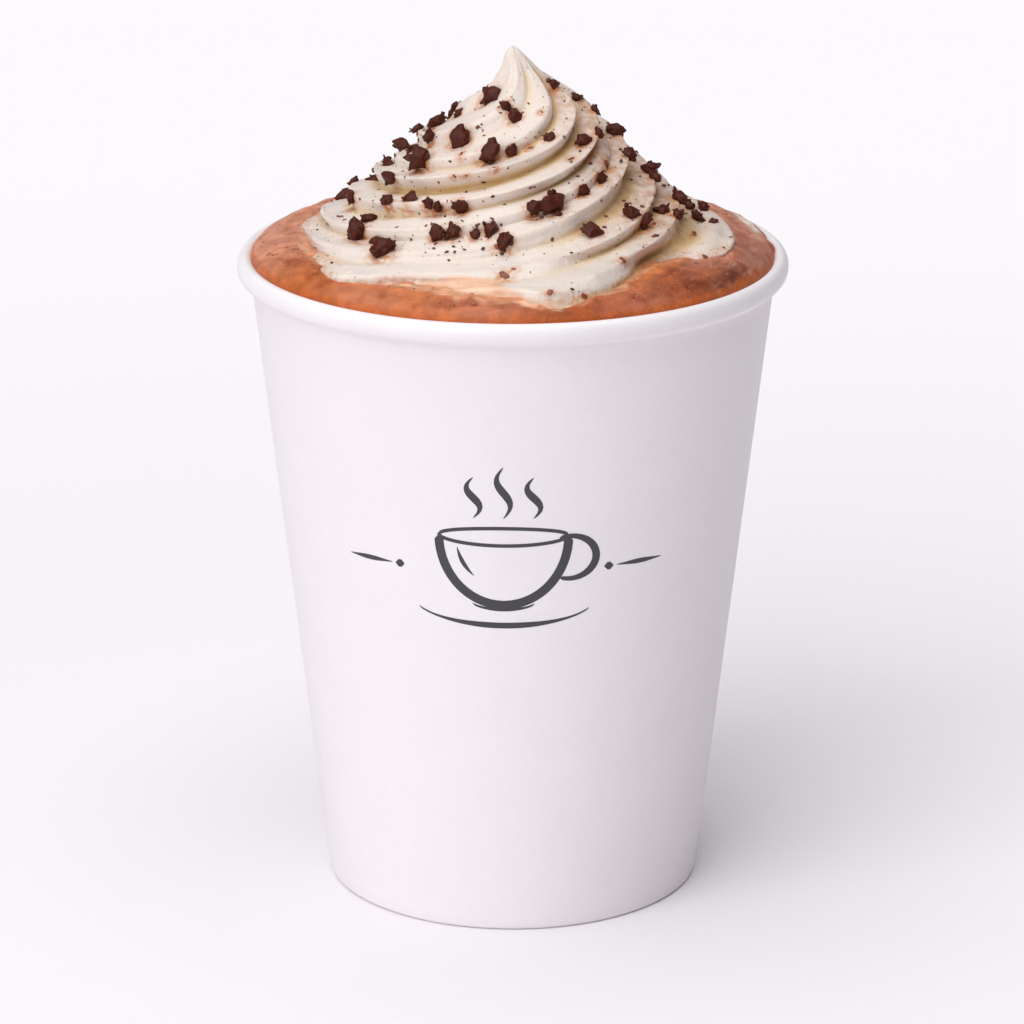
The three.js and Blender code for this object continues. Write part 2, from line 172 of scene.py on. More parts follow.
# Flakes seen from the front: pixel across, pixel down, size in millimetres
FLAKES_SEEN = [
    (489, 96, 3.5), (508, 104, 2.0), (516, 113, 2.6), (458, 112, 2.0), (451, 103, 1.8), (442, 108, 1.8),
    (436, 122, 3.6), (428, 134, 2.2), (415, 128, 2.1), (459, 138, 4.0), (400, 140, 1.6), (420, 158, 4.1),
    (411, 147, 2.0), (353, 180, 2.0), (388, 179, 2.3), (350, 197, 2.5), (386, 203, 2.2), (410, 198, 2.5),
    (428, 204, 1.9), (437, 207, 1.7), (462, 207, 2.5), (369, 219, 2.3), (357, 231, 3.9), (384, 249, 4.2),
    (375, 240, 2.2), (438, 235, 2.6), (452, 233, 2.8), (474, 234, 2.0), (492, 230, 2.9), (504, 239, 2.6),
    (490, 155, 3.5), (513, 152, 2.1), (550, 136, 2.1), (585, 140, 3.0), (555, 82, 1.7), (577, 96, 1.9),
    (593, 108, 1.8), (613, 129, 3.0), (599, 131, 1.7), (631, 153, 2.2), (602, 178, 2.3), (583, 191, 2.0),
    (533, 209, 2.8), (555, 203, 3.9), (590, 231, 3.2), (652, 169, 3.1), (658, 178, 2.2), (630, 213, 3.0),
    (646, 221, 3.0), (664, 210, 2.6), (679, 196, 3.0), (675, 213, 2.1), (704, 206, 2.3), (697, 215, 2.3),
    (689, 205, 1.9), (715, 222, 1.7),
]
FLAKES_SCATTERED = 28
SCATTER_FROM = 5.0
SCATTER_TO = 172.0
SCATTER_LOW = 3.0
SCATTER_HIGH = 27.0
LEDGE_FROM = 0.5
LEDGE_TO = 0.95
SMALL_FLAKE = 1.7
LARGE_FLAKE = 3.4
FLAKE_SPACING = 2.6
FLAKE_RADIUS = 0.57
FLAKE_THICKNESS = 0.62
FLAKE_NARROWEST = 0.7
FLAKE_SINK = 0.12
FLAKE_JITTER = 0.3
FLAKE_SEED = 20391
FLAKE_CUTS = 5  # pieces that each edge of a flake is cut into
SHARDS = 3  # splinters that stand out of each flake

# Crumbs smaller than a flake, seen from the front in the same way
CRUMBS_SEEN = [
    (429, 138, 1.2), (390, 152, 0.8), (381, 159, 1.0), (365, 168, 1.1), (390, 265, 0.9), (505, 248, 1.0),
    (550, 78, 1.0), (620, 146, 0.7), (620, 158, 1.0), (605, 224, 0.9), (656, 234, 1.5), (687, 193, 1.2),
    (705, 255, 1.3), (554, 239, 0.8), (571, 250, 0.7), (477, 89, 0.9), (484, 83, 0.6), (402, 137, 0.9),
    (446, 214, 0.9), (540, 215, 0.9), (610, 122, 0.8), (665, 183, 0.9), (641, 206, 0.9), (700, 199, 0.9),
]
# Bits of chocolate that have melted to a reddish film
MELTS_SEEN = [
    (529, 147, 1.7), (571, 156, 1.3), (609, 161, 2.0), (697, 231, 1.2), (621, 258, 1.7), (553, 290, 1.3),
    (585, 295, 1.3), (516, 268, 1.0), (506, 274, 2.2), (541, 109, 0.9), (452, 176, 0.9), (466, 178, 0.6),
    (432, 126, 1.2), (461, 152, 1.2), (493, 166, 1.0), (357, 243, 1.2), (497, 246, 1.2), (656, 222, 1.2),
]
CRUMB_TURN = 14.0  # millimetres round the swirl from one ridge to the next, roughly
CRUMBS_SCATTERED = 150
SPECKS_ON_CREAM = 1500
SPECKS_ON_FROTH = 110
FROTH_PITS = 96
LOOSE_SEED = 77

FULL_TURN = 360.0
NOISE_VALUES = 4096
NOISE_PRIMES = np.array([73856093, 19349663, 83492791])


def smooth(start, end, x):
    t = np.clip((x - start) / (end - start), 0, 1)
    return t * t * (3 - 2 * t)


def mix(a, b, share):
    return a + (b - a) * share


def near(x, middle, width):
    """1 at a middle value, and softly down to 0 on both sides of it."""
    return np.exp(-(((x - middle) / width) ** 2))


def bump(angle, centre, width):
    """1 in a direction in degrees, and softly down to 0 away from it."""
    return near((angle - centre + 180) % FULL_TURN - 180, 0, width)


def polar(radius, angle, height):
    """Places at a radius, in a direction in radians round from +X, at a height."""
    radius, angle, height = np.broadcast_arrays(radius, angle, height)
    return np.stack([radius * np.cos(angle), radius * np.sin(angle), height], -1)


def spun(points, angle):
    """Points turned about the upright axis, by an angle in radians."""
    x, y, z = points.T
    cosine = math.cos(angle)
    sine = math.sin(angle)
    return np.stack([x * cosine - y * sine, x * sine + y * cosine, z], -1)


def pattern(x, y):
    """Places on a flat pattern, for noise that is drawn out along one of its ways."""
    return np.stack([x, y, x * 0], -1)


def curve_through(points, x):
    """A smooth curve through points, read off at x."""
    places = np.array([point[0] for point in points], float)
    values = np.array([point[1] for point in points], float)
    ends = np.concatenate([[places[0]], places, [places[-1]]])
    levels = np.concatenate([[values[0]], values, [values[-1]]])
    slopes = (levels[2:] - levels[:-2]) / (ends[2:] - ends[:-2])
    i = np.clip(np.searchsorted(places, x, side="right") - 1, 0, len(places) - 2)
    width = places[i + 1] - places[i]
    t = np.clip((x - places[i]) / width, 0, 1)
    leave = t * (1 - t) ** 2 * width
    arrive = t * t * (t - 1) * width
    return mix(values[i], values[i + 1], smooth(0, 1, t)) + leave * slopes[i] + arrive * slopes[i + 1]


def noise(points, size, seed):
    """Smooth noise from -1 to 1 at points in millimetres, with lumps of a size."""
    table = np.random.default_rng(seed).uniform(-1, 1, NOISE_VALUES)
    scaled = np.asarray(points, float) / size
    cell = np.floor(scaled).astype(np.int64)
    part = smooth(0, 1, scaled - cell)
    total = np.zeros(scaled.shape[:-1])
    for corner in itertools.product((0, 1), repeat=3):
        at = cell + np.array(corner)
        key = np.bitwise_xor.reduce(at * NOISE_PRIMES, axis=-1) % NOISE_VALUES
        share = np.prod(np.where(np.array(corner) == 1, part, 1 - part), axis=-1)
        total += table[key] * share
    return total


def random_draws(seed):
    """Random numbers from 0 to 1 that come out the same every time, as the solids' own do."""
    state = seed
    while True:
        state = (state * 1664525 + 1013904223) & 0xFFFFFFFF
        yield state / 2**32


def linear(red, green, blue):
    """A linear colour from one in 0 to 255 screen values."""
    values = np.array([red, green, blue]) / 255
    return np.where(values <= 0.04045, values / 12.92, ((values + 0.055) / 1.055) ** 2.4)


def made_piece(name, points, faces, slot, material, smooth_shaded=True):
    """A mesh piece from points in millimetres, riding on the one body."""
    mesh = bpy.data.meshes.new(name)
    mesh.from_pydata((np.asarray(points).reshape(-1, 3) * MILLIMETRE).tolist(), [], faces)
    mesh.update()
    mesh.polygons.foreach_set("use_smooth", [smooth_shaded] * len(mesh.polygons))
    piece = bpy.data.objects.new(name, mesh)
    bpy.context.scene.collection.objects.link(piece)
    mesh.materials.append(material)
    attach(piece, "root")
    return piece


def add_value(piece, name, values):
    """Keeps a number for each point of a piece, for its material to read."""
    attribute = piece.data.attributes.new(name, "FLOAT", "POINT")
    attribute.data.foreach_set("value", np.asarray(values, np.float32).ravel())


def add_colour(piece, name, colours):
    """Keeps a linear colour for each point of a piece, for its material to read."""
    colours = np.asarray(colours, np.float32).reshape(-1, 3)
    attribute = piece.data.color_attributes.new(name, "FLOAT_COLOR", "POINT")
    opaque = np.concatenate([colours, np.ones((len(colours), 1), np.float32)], axis=1)
    attribute.data.foreach_set("color", opaque.ravel())


def ring_faces(rows, columns):
    """Quads of a grid of rows whose columns close on themselves."""
    faces = []
    for row in range(rows - 1):
        for column in range(columns):
            after = (column + 1) % columns
            low = row * columns
            high = low + columns
            faces.append((low + column, low + after, high + after, high + column))
    return faces


def capped(grid, low, high):
    """Points and faces of a grid of rings, with a fan to a low point and one to a high point."""
    rows, columns = grid.shape[:2]
    points = np.concatenate([grid.reshape(-1, 3), [low, high]])
    faces = ring_faces(rows, columns)
    top = (rows - 1) * columns
    for column in range(columns):
        after = (column + 1) % columns
        faces.append((after, column, len(points) - 2))
        faces.append((top + column, top + after, len(points) - 1))
    return points, faces


def joined(shapes):
    """Points and faces of many shapes in one mesh. Each shape is its points and its faces."""
    starts = itertools.accumulate((len(points) for points, _ in shapes), initial=0)
    faces = [tuple(start + i for i in face) for start, (_, own) in zip(starts, shapes) for face in own]
    return np.concatenate([points for points, _ in shapes]), faces


# Materials


class Paint:
    """A material under construction, with short names for the nodes that it needs."""

    def __init__(self, name):
        self.material = bpy.data.materials.new(name)
        self.material.use_nodes = True
        self.nodes = self.material.node_tree.nodes
        self.links = self.material.node_tree.links
        self.shader = self.nodes["Principled BSDF"]
        self.place = self.nodes.new("ShaderNodeTexCoord").outputs["Object"]

    def put(self, socket, value):
        """Sets a socket of a node, or joins it to another node's output."""
        if isinstance(value, bpy.types.NodeSocket):
            self.links.new(value, socket)
        elif isinstance(value, (tuple, list, np.ndarray)):
            socket.default_value = (*[float(v) for v in value], 1.0)[: len(socket.default_value)]
        else:
            socket.default_value = value

    def set(self, **values):
        """Sets the shader's inputs, by their names."""
        for name, value in values.items():
            self.put(self.shader.inputs[name.replace("_", " ")], value)

    def rough(self, grain, low, high):
        """A roughness that goes from low to high with a grain."""
        self.set(Roughness=self.ranged(grain, 0.3, 0.7, low, high))

    def grain(self, size, detail=2.0, stretch=(1, 1, 1)):
        """Noise from 0 to 1 with lumps of a size in millimetres."""
        mapping = self.nodes.new("ShaderNodeMapping")
        mapping.inputs["Scale"].default_value = stretch
        self.links.new(self.place, mapping.inputs["Vector"])
        node = self.nodes.new("ShaderNodeTexNoise")
        node.inputs["Scale"].default_value = 1 / (size * MILLIMETRE)
        node.inputs["Detail"].default_value = detail
        self.links.new(mapping.outputs["Vector"], node.inputs["Vector"])
        return node.outputs["Fac"]

    def ranged(self, value, low, high, to_low=0.0, to_high=1.0):
        """Maps low to high on to another range, and stops at its ends."""
        node = self.nodes.new("ShaderNodeMapRange")
        node.interpolation_type = "SMOOTHSTEP"
        for name, number in (("From Min", low), ("From Max", high), ("To Min", to_low), ("To Max", to_high)):
            node.inputs[name].default_value = number
        self.links.new(value, node.inputs["Value"])
        return node.outputs["Result"]

    def value(self, name, output="Fac"):
        """What the mesh keeps for each of its points under a name."""
        node = self.nodes.new("ShaderNodeAttribute")
        node.attribute_name = name
        return node.outputs[output]

    def colour(self, name):
        return self.value(name, "Color")

    def blended(self, share, first, second, blend="MIX"):
        """A colour that goes from the first to the second as share goes from 0 to 1."""
        node = self.nodes.new("ShaderNodeMix")
        node.data_type = "RGBA"
        node.blend_type = blend
        self.put(node.inputs[0], share)
        self.put(node.inputs[6], first)
        self.put(node.inputs[7], second)
        return node.outputs[2]

    def product(self, first, second):
        node = self.nodes.new("ShaderNodeMath")
        node.operation = "MULTIPLY"
        self.links.new(first, node.inputs[0])
        self.links.new(second, node.inputs[1])
        return node.outputs[0]

    def length(self):
        """Distance from the object's own origin, in metres."""
        node = self.nodes.new("ShaderNodeVectorMath")
        node.operation = "LENGTH"
        self.links.new(self.place, node.inputs[0])
        return node.outputs["Value"]

    def relief(self, height, depth, below=None):
        """Shades the surface as if height raised it by up to a depth in millimetres."""
        node = self.nodes.new("ShaderNodeBump")
        node.inputs["Distance"].default_value = depth * MILLIMETRE
        self.links.new(height, node.inputs["Height"])
        if below is not None:
            self.links.new(below, node.inputs["Normal"])
        return node.outputs["Normal"]


def paper_material():
    paint = Paint("coated_paper")
    cloud = paint.grain(9.0, 3.0)
    fibre = paint.grain(0.35, 4.0, (1.0, 1.0, 0.45))
    tone = paint.blended(cloud, linear(236, 231, 235), linear(241, 237, 240))
    flecks = paint.ranged(fibre, 0.3, 0.75, 0.0, 0.35)
    paint.set(Base_Color=paint.blended(flecks, tone, linear(245, 242, 244)))
    paint.rough(cloud, 0.4, 0.5)
    paint.set(Specular_IOR_Level=0.4)
    paint.set(Normal=paint.relief(fibre, 0.02, paint.relief(cloud, 0.06)))
    return paint.material


def inside_paper_material():
    paint = Paint("plain_paper")
    fibre = paint.grain(0.5, 4.0, (1.0, 0.4, 1.0))
    paint.set(Base_Color=paint.blended(fibre, linear(226, 221, 224), linear(238, 234, 236)))
    paint.rough(fibre, 0.6, 0.72)
    paint.set(Normal=paint.relief(fibre, 0.04))
    return paint.material


def ink_material():
    paint = Paint("charcoal_ink")
    grain = paint.grain(0.25, 3.0)
    paint.set(Base_Color=paint.blended(grain, linear(58, 57, 59), linear(70, 69, 71)))
    paint.rough(grain, 0.5, 0.62)
    paint.set(Normal=paint.relief(grain, 0.01))
    return paint.material


def froth_material():
    paint = Paint("cocoa_froth")
    cloud = paint.grain(2.4, 4.0)
    bubbles = paint.grain(0.28, 3.0)
    light = paint.ranged(cloud, 0.3, 0.72, 0.84, 1.14)
    clouded = paint.blended(1.0, paint.colour("tone"), light, "MULTIPLY")
    dark = paint.ranged(bubbles, 0.6, 0.8, 0.0, 0.45)
    frothy = paint.blended(dark, clouded, linear(110, 52, 30))
    foam = paint.ranged(paint.grain(0.42, 2.0), 0.62, 0.78, 0.0, 0.3)
    paint.set(Base_Color=paint.blended(foam, frothy, linear(226, 168, 134)))
    paint.rough(cloud, 0.3, 0.46)
    paint.set(Specular_IOR_Level=0.22)
    paint.set(Subsurface_Weight=0.08, Subsurface_Scale=0.0008)
    paint.set(Subsurface_Radius=(1.0, 0.6, 0.4))
    paint.set(Normal=paint.relief(bubbles, 0.17, paint.relief(cloud, 0.3)))
    return paint.material


def cream_material():
    paint = Paint("whipped_cream")
    cloud = paint.grain(4.5, 3.0)
    air = paint.grain(0.5, 3.0)
    white = paint.blended(cloud, linear(230, 218, 211), linear(226, 212, 201))
    # Painted shade: the valleys get a warm yellow and the deepest ones a darker gold, more on the swirl's
    # right side.
    depth = paint.value("valley")
    crease_shaded = paint.blended(paint.ranged(depth, 0.25, 0.85, 0.0, 0.7), white, linear(225, 197, 148))
    deep = paint.product(paint.ranged(depth, 0.6, 1.0), paint.ranged(cloud, 0.2, 0.7, 0.2, 0.8))
    deep_crease_shaded = paint.blended(deep, crease_shaded, linear(204, 162, 98))
    clouds = paint.ranged(paint.grain(1.4, 3.0), 0.35, 0.65, 0.35, 0.85)
    # Painted shade: the swirl's right side is darkened and browned in mottled patches.
    powder = paint.product(paint.value("painted_side_shade"), clouds)
    side_shaded = paint.blended(powder, deep_crease_shaded, linear(180, 138, 108))
    dust = paint.ranged(paint.grain(0.32, 2.0), 0.66, 0.76, 0.0, 0.4)
    dusty = paint.blended(dust, side_shaded, linear(164, 138, 116))
    melting = paint.blended(paint.value("melted"), dusty, paint.colour("foot_tone"))
    patches = paint.ranged(paint.grain(0.9, 3.0), 0.35, 0.6, 0.2, 1.0)
    stain = paint.product(paint.value("stain"), patches)
    paint.set(Base_Color=paint.blended(stain, melting, linear(198, 122, 58)))
    paint.rough(cloud, 0.38, 0.5)
    paint.set(Specular_IOR_Level=0.42)
    paint.set(Subsurface_Weight=0.3, Subsurface_Scale=0.0012)
    paint.set(Subsurface_Radius=(1.0, 0.6, 0.35))
    soft = paint.relief(paint.grain(1.3, 2.0), 0.12, paint.relief(cloud, 0.25))
    paint.set(Normal=paint.relief(air, 0.09, soft))
    return paint.material


def chocolate_material():
    paint = Paint("dark_chocolate")
    cloud = paint.grain(1.1, 3.0)
    crumb = paint.grain(0.3, 4.0)
    body = paint.blended(cloud, linear(44, 13, 6), linear(94, 36, 18))
    broken = paint.ranged(crumb, 0.58, 0.8, 0.0, 0.6)
    paint.set(Base_Color=paint.blended(broken, body, linear(150, 76, 44)))
    paint.rough(crumb, 0.3, 0.6)
    paint.set(Specular_IOR_Level=0.22)
    paint.set(Normal=paint.relief(crumb, 0.12))
    return paint.material


def loose_material(name, roughness):
    """For small bits, which keep their own colours."""
    paint = Paint(name)
    grain = paint.grain(0.3, 3.0)
    worn = paint.ranged(grain, 0.4, 0.7, 0.0, 0.4)
    paint.set(Base_Color=paint.blended(worn, paint.colour("tone"), linear(66, 40, 34)))
    paint.rough(grain, roughness, roughness + 0.15)
    paint.set(Normal=paint.relief(grain, 0.05))
    return paint.material


def floor_material():
    paint = Paint("studio_floor")
    # Painted shade: the floor is darker near the cup, to offset the light that the cup throws back on it, and
    # evenly pale farther out.
    far = paint.ranged(paint.length(), 0.06, 0.5)
    paint.set(Base_Color=paint.blended(far, linear(241, 237, 242), linear(249, 246, 250)))
    paint.set(Roughness=0.9, Specular_IOR_Level=0.0)
    return paint.material


# Cup


def wall_radius(z):
    return mix(BASE_RADIUS, NECK_RADIUS, z / (CUP_HEIGHT - RIM_DEPTH))


def inner_radius(z):
    foot = wall_radius(FOOT_HEIGHT) - PAPER
    middle = CUP_HEIGHT - RIM_DEPTH / 2
    return mix(foot, RIM_RADIUS - RIM_WIDTH, (z - FOOT_HEIGHT) / (middle - FOOT_HEIGHT))


def cup_profile():
    """The cup's section, round from the foot up the outside, over the rim and down the inside."""
    rim_centre = RIM_RADIUS - RIM_WIDTH / 2
    rim_middle = CUP_HEIGHT - RIM_DEPTH / 2
    foot_inside = BASE_RADIUS - FOOT_THICKNESS
    points = []
    for degrees in FOOT_BENDS:
        angle = math.radians(degrees)
        height = FOOT_CURL * (1 + math.sin(angle))
        radius = BASE_RADIUS - FOOT_CURL * (1 - math.cos(angle))
        points.append((radius + (wall_radius(height) - BASE_RADIUS), height))
    tuck = rim_middle + (RIM_DEPTH / 2) * math.sin(math.radians(RIM_TUCK))
    for share in np.linspace(0.02, 1, WALL_STEPS):
        height = mix(FOOT_CURL, tuck - 0.05, share)
        points.append((wall_radius(height), height))
    for degrees in np.linspace(RIM_TUCK, 180, RIM_STEPS):
        angle = math.radians(degrees)
        groove = 1 - RIM_GROOVE * near(degrees, RIM_GROOVE_AT, 12)
        across = (RIM_WIDTH / 2) * math.cos(angle) * groove
        up = (RIM_DEPTH / 2) * math.sin(angle) * groove
        points.append((rim_centre + across, rim_middle + up))
    for share in np.linspace(0.05, 1, INSIDE_STEPS):
        height = mix(rim_middle, FOOT_HEIGHT, share)
        points.append((inner_radius(height), height))
    points.append((wall_radius(FOOT_HEIGHT) - FOOT_THICKNESS, FOOT_HEIGHT - 0.1))
    points.append((foot_inside, FOOT_ROUNDING))
    points.append((foot_inside + FOOT_ROUNDING * 0.5, 0.05))
    return points


def cup_angles():
    """Directions of the cup's columns, closer together where the paper laps over itself."""
    even = np.linspace(0, FULL_TURN, CUP_COLUMNS, endpoint=False)
    lap = SEAM_TOWARDS + np.array([-1.2, -0.5, -0.25, 0.0, 0.12, 0.24, 0.36, 0.5, 0.9])
    apart = np.abs(even[:, None] - lap[None, :]).min(axis=1) > 0.35
    return np.sort(np.concatenate([even[apart], lap]))


def lap_height(angle):
    """How far the side seam stands out: a crisp edge on one side, a long slope on the other."""
    behind = (SEAM_TOWARDS - angle + 180) % FULL_TURN - 180
    return SEAM_HEIGHT * (1 - smooth(0.0, SEAM_EDGE, -behind)) * smooth(SEAM_WIDTH, 0.0, behind)


def cup_paper(material):
    angles = cup_angles()
    lap = lap_height(angles)
    outside = len(FOOT_BENDS) + WALL_STEPS + RIM_STEPS * 0.65  # so many of the points show outside
    rings = []
    for i, (radius, height) in enumerate(cup_profile()):
        flattened = mix(1.0, 0.35, smooth(CUP_HEIGHT - RIM_DEPTH, CUP_HEIGHT, height))
        share = smooth(0.5, 4.0, height) * flattened if i < outside else 0
        rings.append(polar(radius + lap * share, np.radians(angles), height))
    faces = ring_faces(len(rings), len(angles))
    last = (len(rings) - 1) * len(angles)
    for column in range(len(angles)):
        after = (column + 1) % len(angles)
        faces.append((last + column, last + after, after, column))
    piece = made_piece("cup_paper", np.array(rings), faces, "paper", material)
    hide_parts("cup_wall")


def cup_floor(material):
    """A flat round plate with soft edges."""
    low = FOOT_HEIGHT + GAP
    high = low + PAPER
    radius = inner_radius(low) - 0.02
    flat = (radius * 0.4, radius * 0.8, radius - FLOOR_BEVEL)
    profile = [(out, low) for out in flat]
    profile += [(radius, low + FLOOR_BEVEL), (radius, high - FLOOR_BEVEL)]
    profile += [(out, high) for out in reversed(flat)]
    turned = np.linspace(0, math.tau, CUP_COLUMNS, endpoint=False)
    rings = np.array([polar(out, turned, height) for out, height in profile])
    piece = made_piece("cup_floor", *capped(rings, (0, 0, low), (0, 0, high)), "paper", material)
    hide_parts("cup_base")


# Print: a plain drawing of a steaming mug between two small ornaments

PRINT_MIDDLE_X = -1.5
PRINT_MIDDLE_Z = 66.3
PRINT_PROUD = 0.035
PRINT_SUNK = 0.12
PRINT_STEP = 0.6  # longest straight stretch of a drawn line


def arc(centre_x, centre_z, across, up, start, end):
    """Points along part of an ellipse."""
    count = max(int(abs(end - start) / 6), 4)
    angles = np.radians(np.linspace(start, end, count + 1))
    return [(centre_x + across * math.cos(a), centre_z + up * math.sin(a)) for a in angles]


def evenly(points, step):
    """The same line with a point at least every step along it."""
    points = np.array(points, float)
    lengths = np.concatenate([[0], np.cumsum(np.hypot(*np.diff(points, axis=0).T))])
    count = max(int(math.ceil(lengths[-1] / step)), 2)
    at = np.linspace(0, lengths[-1], count + 1)
    return np.stack([np.interp(at, lengths, points[:, 0]), np.interp(at, lengths, points[:, 1])], -1)


def on_cup(x, z, proud):
    """A place on the cup's front from a flat drawing."""
    radius = wall_radius(z)
    angle = x / radius
    return ((radius + proud) * math.sin(angle), -(radius + proud) * math.cos(angle), z)


def drawn_line(line, width, tail=None):
    """A closed thin ribbon along a line, with ends that narrow to a tail width."""
    line = evenly(line, PRINT_STEP)
    along = np.gradient(line, axis=0)
    along /= np.hypot(along[:, 0], along[:, 1])[:, None]
    sideways = np.stack([-along[:, 1], along[:, 0]], -1)
    share = np.linspace(0, 1, len(line))
    ends = np.minimum(share, 1 - share) * 2
    narrow = width if tail is None else mix(tail, width, smooth(0, 0.9, ends))
    round_end = np.sqrt(np.clip(1 - (1 - np.clip(ends * len(line) / 2 / 1.2, 0, 1)) ** 2, 0.08, 1))
    half = (narrow * round_end / 2)[:, None]
    left = line + sideways * half
    right = line - sideways * half
    points = []
    for (lx, lz), (rx, rz) in zip(left, right):
        points += [on_cup(lx, lz, PRINT_PROUD), on_cup(rx, rz, PRINT_PROUD)]
        points += [on_cup(rx, rz, -PRINT_SUNK), on_cup(lx, lz, -PRINT_SUNK)]
    last = len(points) - 4
    return points, [*ring_faces(len(line), 4), (3, 2, 1, 0), (last, last + 1, last + 2, last + 3)]


def print_lines():
    """The drawing, as lines with their widths: x and z from the middle of the print."""
    lines = [
        (arc(0, 4.4, 10.4, 1.5, 0, 360), 0.6, None),
        (arc(0, 4.2, 10.4, 11.6, 180, 360), 1.5, None),
        (arc(10.6, 0.6, 4.4, 3.7, 112, -112), 1.3, 0.7),
        (arc(0, -7.6, 14.4, 3.4, 196, 344), 1.0, 0.25),
        (arc(0, -7.0, 5.0, 1.2, 190, 350), 0.6, 0.3),
        (arc(0, 4.2, 7.6, 8.4, 192, 232), 0.7, 0.2),
    ]
    for offset, height in ((-4.8, 7.0), (0.0, 8.8), (4.8, 7.0)):
        wisp = [(offset + 1.1 * math.sin(2 * math.pi * t), 7.6 + height * t) for t in np.linspace(0, 1, 25)]
        lines.append((wisp, 1.25, 0.25))
    for side in (-1, 1):
        lines.append(([(side * 18.6, -1.6), (side * 27.0, -1.6)], 0.8, 0.2))
        lines.append(([(side * 16.4, -1.6), (side * 18.0, -1.6)], 1.5, 0.3))
    return lines


def cup_print(material):
    ribbons = []
    for line, width, tail in print_lines():
        placed = [(x + PRINT_MIDDLE_X, z + PRINT_MIDDLE_Z) for x, z in line]
        ribbons.append(drawn_line(placed, width, tail))
    made_piece("cup_print", *joined(ribbons), "print", material, smooth_shaded=False)


# Whipped cream


def twist(height):
    """Degrees that a ridge has turned at a height above the cream's base."""
    over = np.clip(height - PEAK_START, 0, None)
    eased = np.where(over < PEAK_EASE, over - over**2 / (2 * PEAK_EASE), PEAK_EASE / 2)
    slowed = TURN * PEAK_START + PEAK_TURN * over + (TURN - PEAK_TURN) * eased
    return np.where(height < PEAK_START, TURN * height, slowed)


def edge_radius(angle):
    around = [(a - FULL_TURN, r) for a, r in EDGE[-3:]] + EDGE + [(a + FULL_TURN, r) for a, r in EDGE[:3]]
    return curve_through(around, np.mod(angle, FULL_TURN))


def ridge_wave(share, valley, sharpness):
    """1 on a crest and -1 in a valley, with straight flanks and rounded corners."""
    along = np.where(share < valley, 0.5 * share / valley, 0.5 + 0.5 * (share - valley) / (1 - valley))
    return np.arcsin(sharpness * np.cos(2 * np.pi * along)) / np.arcsin(sharpness)


def rightness(angle):
    """1 on the swirl's right side and 0 on its left."""
    return 0.5 + 0.5 * np.cos(np.radians(angle - RIGHT_SIDE))


def face_depth(ridge, angle):
    """How deep a ridge's face is there, as a share of the usual depth."""
    sides = mix(RIDGE_LEFT[ridge], RIDGE_RIGHT[ridge], rightness(angle))
    return mix(sides, RIDGE_FRONT[ridge], bump(angle, FRONT_SIDE, FRONT_SPREAD))


def swirl_form(turns, climb, sharpness=CREST_SHARPNESS):
    """The cream's surface, its direction round the cup, and the share of painted shade that each point gets
    deep in a valley, more on the swirl's right side.
    """
    here = np.floor(turns).astype(int) % RIDGES
    after = (here + 1) % RIDGES
    share = turns - np.floor(turns)
    lowness = 1 - smooth(LOW_SHIFT_FROM, LOW_SHIFT_TO, climb)
    shift_here = RIDGE_SHIFT[here] + RIDGE_LOW[here] * lowness
    shift_after = RIDGE_SHIFT[after] + RIDGE_LOW[after] * lowness
    shifted = mix(shift_here, shift_after, smooth(0, 1, share))
    angle = FULL_TURN / RIDGES * turns + FIRST_RIDGE + shifted + twist(climb)
    part = climb / CREAM_RISE
    leaning = LEAN * smooth(0, LEAN_GROWN, part) * (1 - smooth(LEAN_FADES_FROM, LEAN_FADES_TO, part))
    height = climb + leaning * np.sin(np.radians(angle - LEAN_TOWARDS))
    depth = np.clip(CREAM_RISE - height, 0, None)
    face_share = smooth(FACE_BLEND_FROM, FACE_BLEND_TO, share)
    face = mix(face_depth(here, angle), face_depth(after, angle), face_share)
    grown = smooth(RELIEF_FROM, RELIEF_TO, depth / CREAM_RISE)
    foot = 1 - FOOT_LOSS * smooth(FOOT_FROM, 1, depth / CREAM_RISE)
    wave = ridge_wave(share, VALLEY_MIDDLE + VALLEY_SHIFT * (face - 1), sharpness)
    relief = RIDGE_DEPTH * face * mix(TIP_RELIEF, 1, grown) * foot * wave
    droop = DROOP * grown * foot * face * np.cos(2 * np.pi * share)
    spread = (edge_radius(angle) - EDGE_MEAN) * (1 - smooth(EDGE_BOTTOM, EDGE_TOP, height))
    radius = curve_through(SWIRL_PROFILE, depth) + spread + SLOPE_OUT * relief + SLOPE_UP * droop
    neck = NECK_SHIFT * near(depth, NECK_DEPTH, NECK_SPREAD) * smooth(0, NECK_BELOW_TIP, depth)
    level = CREAM_BASE + height + SLOPE_UP * relief - SLOPE_OUT * droop
    points = polar(np.clip(radius, 0, None), np.radians(angle), level)
    points[..., 0] += neck
    # Painted shade in the valleys, stronger on the right side, away from the light.
    valley = smooth(0.5, -0.95, wave) * smooth(0, 0.25, grown) * np.clip(face, 0.3, 1.2)
    return points, angle, valley * mix(0.75, 1, rightness(angle))


def swirl_points(turns, climb):
    return swirl_form(np.asarray(turns, float), np.asarray(climb, float))[0]


def swirl_normals(turns, climb):
    ahead = swirl_points((turns + NORMAL_STEP) % RIDGES, climb)
    behind = swirl_points((turns - NORMAL_STEP) % RIDGES, climb)
    up = swirl_points(turns, climb + NORMAL_STEP) - swirl_points(turns, climb - NORMAL_STEP)
    normal = np.cross(ahead - behind, up)
    return normal / np.linalg.norm(normal, axis=-1, keepdims=True)


def grid_normals(grid):
    """Normals of a grid of points whose columns close on themselves."""
    across = np.roll(grid, -1, axis=1) - np.roll(grid, 1, axis=1)
    up = np.gradient(grid, axis=0)
    normal = np.cross(across, up)
    return normal / np.maximum(np.linalg.norm(normal, axis=-1, keepdims=True), 1e-9)


